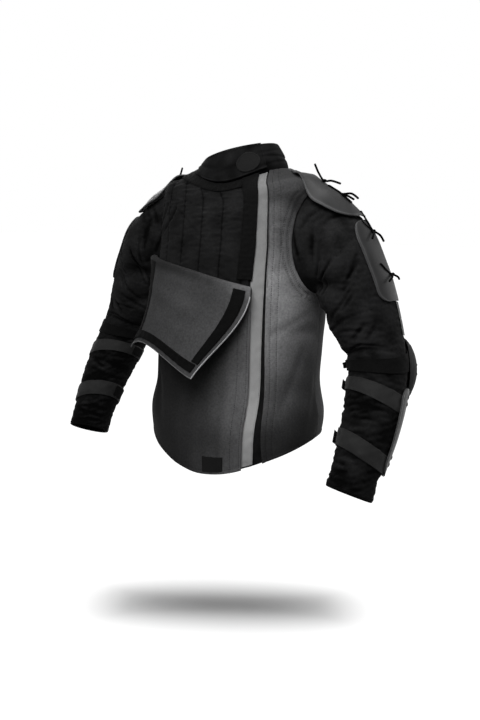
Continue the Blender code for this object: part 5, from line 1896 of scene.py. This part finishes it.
@dataclass(frozen=True)
class Sleeves:
    """The padded upper and lower tubes of both sleeves, with the light strip above each elbow."""

    elbow_seam: float = 5.25
    cuff: float = 9.0
    strip_turn: float = radians(190)
    strip_width: float = 0.020
    strip_along: tuple[float, float] = (3.02, 3.95)
    dot_rows: tuple[float, ...] = (1.15, 2.98)
    dot_tilt: float = 0.10
    dots: int = 34
    dot_station: float = 0.058
    dot_width: float = 0.0035
    dot_groove: float = 0.0005
    dot_depth: float = 0.0008
    runs: tuple[CreaseRun, ...] = (
        CreaseRun(3, (0.70, 0.25, 25), (0.80, 0.70, 15), 0.015, 0.0030, 0.0026),
        CreaseRun(4, (0.55, 0.20, -30), (0.45, 1.20, -10), 0.020, 0.0040, 0.0036),
        CreaseRun(6, (0.70, 1.60, -35), (0.50, 2.60, -40), 0.015, 0.0034, 0.0026),
        CreaseRun(3, (0.60, 3.80, -40), (0.45, 3.60, -30), 0.020, 0.0042, 0.0030),
        CreaseRun(2, (0.55, 4.20, 15), (0.40, 4.05, -15), 0.026, 0.0036, 0.0021),
        CreaseRun(4, (0.65, 6.10, 10), (0.50, 7.25, -5), 0.032, 0.0034, 0.0014),
        CreaseRun(4, (0.40, 5.80, -8), (0.45, 8.40, -20), 0.028, 0.0034, 0.0016),
    )
    fine: tuple[Crease, ...] = (
        Crease(0.250, 1.55, -75, 0.034, 0.0060, 0.0030),
        Crease(0.330, 1.75, -60, 0.024, 0.0045, 0.0026),
        Crease(0.390, 2.75, -25, 0.026, 0.0040, 0.0022),
        Crease(0.300, 3.20, -12, 0.030, 0.0045, 0.0026),
        Crease(0.420, 3.50, 10, 0.024, 0.0036, 0.0020),
        Crease(0.280, 6.60, -4, 0.044, 0.0036, 0.0018),
        Crease(0.260, 7.02, 5, 0.040, 0.0036, 0.0016),
        Crease(0.350, 7.48, -3, 0.040, 0.0036, 0.0018),
        Crease(0.330, 8.18, 4, 0.040, 0.0040, 0.0030),
        Crease(0.300, 8.42, -3, 0.040, 0.0040, 0.0030),
        Crease(0.260, 8.66, 5, 0.034, 0.0040, 0.0024),
        Crease(0.05, 1.55, 50, 0.040, 0.010, 0.0030),
        Crease(1.90, 2.20, -46, 0.040, 0.010, 0.0030),
        Crease(1.75, 2.60, -34, 0.040, 0.009, 0.0026),
        Crease(1.52, 2.50, -40, 0.040, 0.009, 0.0022),
        Crease(1.40, 3.60, -10, 0.044, 0.009, 0.0022),
        Crease(1.66, 4.00, 4, 0.040, 0.008, 0.0022),
        Crease(1.30, 1.10, -20, 0.036, 0.009, 0.0020),
        Crease(1.45, 6.20, 7, 0.040, 0.007, 0.0016),
        Crease(1.62, 6.85, -6, 0.044, 0.007, 0.0016),
        Crease(1.50, 7.60, 4, 0.040, 0.007, 0.0014),
        Crease(1.80, 7.10, 10, 0.036, 0.007, 0.0014),
        Crease(0.02, 6.60, -8, 0.040, 0.008, 0.0016),
    )

    def pressed(self, arm: ArmForm, turn: Array, along: Array) -> Array:
        """How far the fine folds, placed in half turns and stations, press the sleeve in."""
        turned = 2 * pi * arm.radius
        drawn = [fold for seed, run in enumerate(self.runs, 141) for fold in run.creases(seed)]
        folds = [*self.fine, *drawn]
        placed = [
            fold._replace(across=fold.across * turned / 2, along=fold.along * arm.step) for fold in folds
        ]
        depth = creased(turn * arm.radius, along * arm.step, placed, turned)
        return np.maximum(depth, -0.0009) * smooth(along / 0.15)

    def outside(self, arm: ArmForm, turn: Array, along: Array, lift: Array | float) -> Array:
        """Points a lift off the sleeve's outside, with its main and its fine folds."""
        return arm.skin(turn, along, lift - self.pressed(arm, turn, along))

    def quilting(self, turn: Array, along: Array) -> Array:
        """Dimples along the rows of quilting: a soft groove, deeper where each stitch pulls it in."""
        total = np.zeros_like(turn)
        for row in self.dot_rows:
            away = (along - row - self.dot_tilt * np.sin(turn)) * self.dot_station
            dimples = self.dot_groove + self.dot_depth * np.maximum(np.cos(turn * self.dots), 0) ** 2
            total += bell(away, self.dot_width) * dimples
        return total

    def build(self, kit: Kit) -> None:
        """Make both sleeves and their light strips."""
        for side in Side:
            shift = 0 if side is Side.LEFT else 3
            self.tube(kit, side, "upper", 0.0, self.elbow_seam - SEAM / kit.arm.step, 156, shift)
            self.tube(kit, side, "lower", self.elbow_seam, self.cuff, 108, shift)
            self.strip(kit, side)

    def tube(self, kit: Kit, side: Side, part: str, start: float, end: float, rows: int, shift: int) -> None:
        """Make one tube of one sleeve, with its quilting and the sewing at its end."""
        arm = kit.arm
        columns = 148 if part == "upper" else 128
        turn, along = np.meshgrid(np.arange(columns) * 2 * pi / columns, np.linspace(start, end, rows))
        base = self.outside(arm, turn, along, 0.0)
        out = arm.out(turn, along)
        start_fade = smooth((along - 0.05) / 0.5) if part == "upper" else np.ones_like(along)
        ends = np.minimum((along - start), (end - along)) * arm.step
        ripple = 0.00045 if part == "lower" else 0.00025
        small = 0.0003 * uneven(base, 0.030, 101 + shift) + 0.0002 * uneven(base, 0.007, 107 + shift, 24)
        small = small + ripple * uneven(base * [0.4, 0.4, 1], 0.009, 105 + shift)
        relief = (small - self.quilting(turn, along)) * start_fade * smooth(ends / 0.010)
        outer = base + relief[..., None] * out
        inner = base - QUILT * out
        # Painted light and shade: darker in the folds and the quilting's dimples and lighter on rises,
        # lighter on the upper arm and darker towards the cuff, and the right sleeve darker than the left.
        worn = 0.3 * uneven(base, 0.05, 109 + shift) - 320 * self.pressed(arm, turn, along) + 500 * small
        worn -= 250 * self.quilting(turn, along)
        worn += blended(along, (0, 2.0, 3.2, 4.6, 5.6, 9.0), (0.1, 0.6, 0.6, 0.1, -0.5, -0.45))
        worn -= 0.4 * (side is Side.RIGHT)
        node = f"sleeve_{part}_{side.label}"
        grids = [side.place(grid) for grid in (inner, outer)]
        made = kit.dress(wall(f"{node}_pad", *grids, ring=True, fields={"worn": worn}), Slot.BLACK, node)
        lines = []
        for row in self.dot_rows:
            if start < row < end:
                around = np.linspace(0, 2 * pi, 4 * self.dots)
                place = row + self.dot_tilt * np.sin(around)
                out = arm.out(around, place)
                line = self.outside(arm, around, place, 0.0) - self.quilting(around, place)[:, None] * out
                lines.append(Line(side.place(line), side.place(out)))
        if part == "lower":
            around = np.linspace(0, 2 * pi, 200)
            place = np.full_like(around, end - 0.008 / arm.step)
            line = self.outside(arm, around, place, 0.0003)
            lines.append(Line(side.place(line), side.place(arm.out(around, place))))
        pitch = 0.0105 if part == "upper" else 0.0042
        sewing = Stitch(pitch=pitch, length=0.0036, width=0.0012, height=0.0007)
        kit.dress(sewing.sew(f"{node}_sewing", lines), Slot.BLACK, finish="thread")

    def strip(self, kit: Kit, side: Side) -> None:
        """Make the light strip, with a join across its middle."""
        turn, along = np.meshgrid(
            self.strip_turn + self.strip_width / 2 / kit.arm.radius * np.linspace(-1, 1, 22),
            np.linspace(*self.strip_along, 60),
        )
        middle = np.mean(self.strip_along)
        join = 0.0006 * bell((along - middle) * kit.arm.step, 0.0012)
        fine = np.maximum(-self.pressed(kit.arm, turn, along), -0.0002)
        lifts = 3 * CLEAR + 0.0002, 3 * CLEAR + 0.0002 + TAPE
        inner, outer = (kit.arm.skin(turn, along, lift + fine) for lift in lifts)
        outer = outer - join[..., None] * kit.arm.out(turn, along)
        grids = [side.place(grid) for grid in (inner, outer)]
        name = f"sleeve_strip_{side.label}"
        made = kit.dress(wall(f"{name}_cloth", *grids), Slot.LIGHT, name)
        sheet_of(made, inner)


@dataclass(frozen=True)
class Guards:
    """The satin plates: over the shoulders, the upper arms, the elbows and the forearms, with rivets."""

    plates: tuple[tuple[str, ArmPlate], ...] = (
        ("upper_arm_plate", ArmPlate(1.02, 2.98, 184, 182, 0.047, 0.022, 0.0018)),
        ("forearm_plate", ArmPlate(5.66, 8.05, 188, 202, 0.032, 0.024, 0.0040)),
    )
    arc: float = 0.066
    shoulder: tuple[PlateRow, ...] = (
        PlateRow(-1.00, 6, 0.0053), PlateRow(-0.80, 19, 0.0061), PlateRow(-0.45, 28, 0.0100),
        PlateRow(0.00, 35, 0.0155), PlateRow(0.45, 37, 0.0110), PlateRow(0.93, 27, 0.0055),
    )
    neck_margin: float = 0.45
    # Painted light on the shoulder plates: the left one a little darker, the right one much lighter.
    shoulder_worn: tuple[float, float] = (-0.03, 0.35)
    tip_taper: float = 0.85
    cup_turn: float = radians(238)
    cup_half_turn: float = radians(46)
    cup_along: float = 4.92
    cup_half_length: float = 0.058
    cup_lift: float = 0.0045
    cup_rise: float = 0.020
    slots: tuple[tuple[float, float], ...] = ((-0.62, -0.12), (-0.62, 0.16))
    rivets: tuple[float, ...] = (5.86, 6.06, 7.50, 7.70)
    rivet_radius: float = 0.0034
    rivet_height: float = 0.0014

    def build(self, kit: Kit) -> None:
        """Make every plate and rivet of both arms."""
        for side in Side:
            for kind, spec in self.plates:
                self.arm_plate(kit, f"{kind}_{side.label}", spec, side)
            self.shoulder_plate(kit, side)
            self.cup(kit, side)
            self.rivet_heads(kit, side)

    def middle(self, spec: ArmPlate, along: Array) -> Array:
        """The turn of a plate's middle line at a place along the arm."""
        share = (along - spec.start) / (spec.end - spec.start)
        return radians(spec.turn_top) + radians(spec.turn_end - spec.turn_top) * share

    def shell(self, kit: Kit, node: str, inner: Array, outer: Array, side: Side) -> None:
        """Make one plate from its two faces, lighter along its rim: partly wear, partly painted highlight."""
        rows, columns = inner.shape[:2]
        v, u = np.mgrid[0:rows, 0:columns]
        rim = np.minimum(np.minimum(u, columns - 1 - u), np.minimum(v, rows - 1 - v))
        grids = [side.place(grid) for grid in (inner, outer)]
        # Lighter along the rim, partly wear and partly painted highlight, and painted light on the shoulder
        # plates.
        worn = 0.9 * bell(rim - 0.7, 0.85) + 0.02 * uneven(outer, 0.03, 121)
        if "shoulder" in node:
            worn += self.shoulder_worn[side is Side.RIGHT]
        made = wall(f"{node}_moulded", *grids, fields={"worn": worn}, roundness=0.45)
        kit.dress(made, Slot.PLATE, node, finish="cup" if "cup" in node else None)

    def arm_plate(self, kit: Kit, node: str, spec: ArmPlate, side: Side) -> None:
        """Make a curved plate over the outside of the sleeve.

        Its sides draw in round each corner by the corner's radius less the height of a quarter circle.
        """
        length = (spec.end - spec.start) * kit.arm.step
        corner = spec.corner * (1 - np.cos(np.linspace(0, pi / 2, 13)))
        walk = np.concatenate([
            corner[:-1], np.linspace(spec.corner, length - spec.corner, 34), length - corner[-2::-1],
        ])
        near = np.clip(spec.corner - np.minimum(walk, length - walk), 0, spec.corner)
        half = (spec.half_width - spec.corner + np.sqrt(spec.corner**2 - near**2)) / self.arc
        along = spec.start + walk / kit.arm.step
        across = np.linspace(-1, 1, 48)
        turn = self.middle(spec, along)[:, None] + half[:, None] * across
        along = np.repeat(along[:, None], len(across), 1)
        points, out = kit.arm.point(turn, along), kit.arm.out(turn, along)
        lip = 0.0006 * smooth((np.abs(across) - 0.86) / 0.1) * np.ones_like(along)
        inner = points + spec.lift * out
        self.shell(kit, node, inner, inner + (PLATE + lip)[..., None] * out, side)

    def shoulder_plate(self, kit: Kit, side: Side) -> None:
        """Make the leaf-shaped plate from beside the neck to the top of the arm, where its end is rounded."""
        form, arm = kit.body, kit.arm
        across, at = np.meshgrid(np.linspace(-1, 1, 54), np.linspace(0, len(self.shoulder) - 1, 66))
        tip = np.clip((at - len(self.shoulder) + 1.65) / 0.65, 0, 1)
        drawn = (across * np.sqrt(1 - (self.tip_taper * tip) ** 2)).ravel()
        coarse = []
        for row in self.shoulder:
            turn = pi - radians(row.half_turn) * drawn
            if row.place <= 0:
                angle, level = form.armhole_angle(turn), form.armhole_level(turn)
                level = level + (form.neck - self.neck_margin - level) * -row.place
                coarse.append(form.off(angle, level, row.lift))
            else:
                along = np.full_like(turn, row.place)
                coarse.append(arm.point(turn, along) + row.lift * arm.out(turn, along))
        inner = eased(np.stack(coarse), at.ravel()).reshape(*at.shape, 3)
        out = grid_normals(inner)
        lip = 0.0006 * smooth((np.abs(across) - 0.88) / 0.09)
        self.shell(kit, f"shoulder_plate_{side.label}", inner, inner + (PLATE + lip)[..., None] * out, side)

    def cup_points(self, kit: Kit, u: Array, v: Array, more: Array | float) -> tuple[Array, Array]:
        """Points on the elbow's dome, more outside its inner face, and the way out of it."""
        turn = self.cup_turn + self.cup_half_turn * u * np.sqrt(1 - v**2 / 2)
        along = self.cup_along + self.cup_half_length / kit.arm.step * v * np.sqrt(1 - u**2 / 2)
        spread = np.clip(u**2 + v**2 - u**2 * v**2, 0, 1)
        points, out = kit.arm.point(turn, along), kit.arm.out(turn, along)
        lift = self.cup_lift + self.cup_rise * (1 - spread) ** 0.8 + more
        return points + lift[..., None] * out, out

    def cup(self, kit: Kit, side: Side) -> None:
        """Make the domed guard over the point of the elbow, with two short slots."""
        u, v = np.meshgrid(np.linspace(-1, 1, 58), np.linspace(-1, 1, 58))
        ridge = 0.0007 * bell(np.maximum(abs(u), abs(v)) - 0.74, 0.05)
        inner, _ = self.cup_points(kit, u, v, 0.0)
        outer, _ = self.cup_points(kit, u, v, PLATE + ridge)
        self.shell(kit, f"elbow_cup_{side.label}", inner, outer, side)
        for number, (across, along) in enumerate(self.slots, 1):
            reach = np.linspace(-0.10, 0.10, 12)
            path, out = self.cup_points(kit, across + reach, np.full_like(reach, along), PLATE + 0.0003)
            name = f"elbow_slot_{side.label}_{number}"
            made = tube(name, side.place(path), 0.0014, 12, 0.4, side.place(out))
            kit.dress(made, Slot.BLACK, finish=Slot.TAPE)

    def rivet_heads(self, kit: Kit, side: Side) -> None:
        """Make low domed rivet heads down the middle of the forearm plate."""
        spec = dict(self.plates)["forearm_plate"]
        for number, place in enumerate(self.rivets, 1):
            along = np.array([place])
            turn = self.middle(spec, along)
            out = side.place(kit.arm.out(turn, along))[0]
            foot = side.place(kit.arm.point(turn, along))[0] + (spec.lift + PLATE + CLEAR) * out
            ahead = unit(np.cross(out, [0.3, 0.9, 0.1]))
            beside = np.cross(out, ahead)
            around = np.arange(28) * 2 * pi / 28
            profile = np.array([
                (0.90, 0.0), (1.0, 0.15), (0.98, 0.45), (0.80, 0.82), (0.45, 1.0), (0.12, 1.04),
            ])
            ring = np.cos(around)[:, None] * ahead + np.sin(around)[:, None] * beside
            rings = [foot + self.rivet_radius * r * ring + self.rivet_height * h * out for r, h in profile]
            name = f"rivet_{side.label}_{number}"
            kit.dress(lofted(f"{name}_head", np.stack(rings)), Slot.RIVET, name)
            # A flat ring in the dark sewing finish round each head: painted shadow of the head.
            shadow_ring = (1.42, 0), (1.40, 1), (0.8, 1)
            rings = [foot + self.rivet_radius * r * ring + 0.0003 * h * out for r, h in shadow_ring]
            kit.dress(lofted(f"{name}_washer", np.stack(rings)), Slot.RIVET, finish="thread")


@dataclass(frozen=True)
class Straps:
    """The elastic bands round both sleeves, each with a loose end that hangs past its fastening."""

    bands: tuple[tuple[str, Strap], ...] = (
        ("elbow_strap", Strap(4.80, 0.42, 0.05, 0.034, 0.0012)),
        ("forearm_strap_top", Strap(5.95, 0.10, 0.22, 0.027, 0.0009)),
        ("forearm_strap_end", Strap(7.60, 0.00, 0.20, 0.027, 0.0015)),
    )
    end_turn: tuple[float, float] = (-0.35, 0.25)
    end_width: float = 0.020

    def build(self, kit: Kit) -> None:
        """Make every band."""
        for side in Side:
            for kind, spec in self.bands:
                self.band(kit, f"{kind}_{side.label}", spec, side)

    def band(self, kit: Kit, node: str, spec: Strap, side: Side) -> None:
        """Make one band, with a groove inside each edge."""
        turn, across = np.meshgrid(np.arange(120) * 2 * pi / 120, np.linspace(-1, 1, 18))
        along = spec.along + spec.fore_tilt * np.sin(turn) - spec.out_tilt * np.cos(turn)
        along = along + across * spec.width / 2 / kit.arm.step
        inner = kit.arm.skin(turn, along, spec.lift)
        relief = 0.0003 * uneven(inner, 0.018, 131) - 0.0004 * bell(np.abs(across) - 0.82, 0.08)
        outer = kit.arm.skin(turn, along, spec.lift + STRAP + relief)
        grids = [side.place(grid) for grid in (inner, outer)]
        finish = Slot.TAPE if "elbow" in node else None
        made = kit.dress(wall(f"{node}_elastic", *grids, ring=True), Slot.STRAP, node, finish=finish)
        turn, across = np.meshgrid(np.linspace(*self.end_turn, 34), np.linspace(-1, 1, 14))
        along = spec.along + spec.fore_tilt * np.sin(turn) - spec.out_tilt * np.cos(turn)
        along = along + across * self.end_width / 2 / kit.arm.step
        rise = spec.lift + STRAP + CLEAR + 0.0006 + 0.004 * smooth((turn - self.end_turn[0]) / 0.5)
        base = kit.arm.skin(turn, along, rise)
        tip = side.place(base), side.place(kit.arm.skin(turn, along, rise + STRAP))
        end = kit.dress(wall(f"{node}_loose_end", *tip), Slot.STRAP, finish=Slot.TAPE)
        sheet_of(made, np.concatenate([inner, inner[:, :1]], axis=1))


def main() -> None:
    """Build the jacket's looks, one sub-assembly after another."""
    logging.basicConfig(level=logging.INFO, format="%(name)s: %(message)s")
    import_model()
    Studio().build()
    body = BodyForm()
    kit = Kit(body, ArmForm(body), make_finishes())
    parts = (
        Laces(), LeftFront(), Back(), RightFront(), FlapTapes(), Chest(), Closure(), HemPatch(), Collar(),
        Sleeves(), Guards(), Straps(),
    )
    for part in parts:
        part.build(kit)
        LOG.info("%s done", type(part).__name__)


if __name__ == "__main__":
    main()
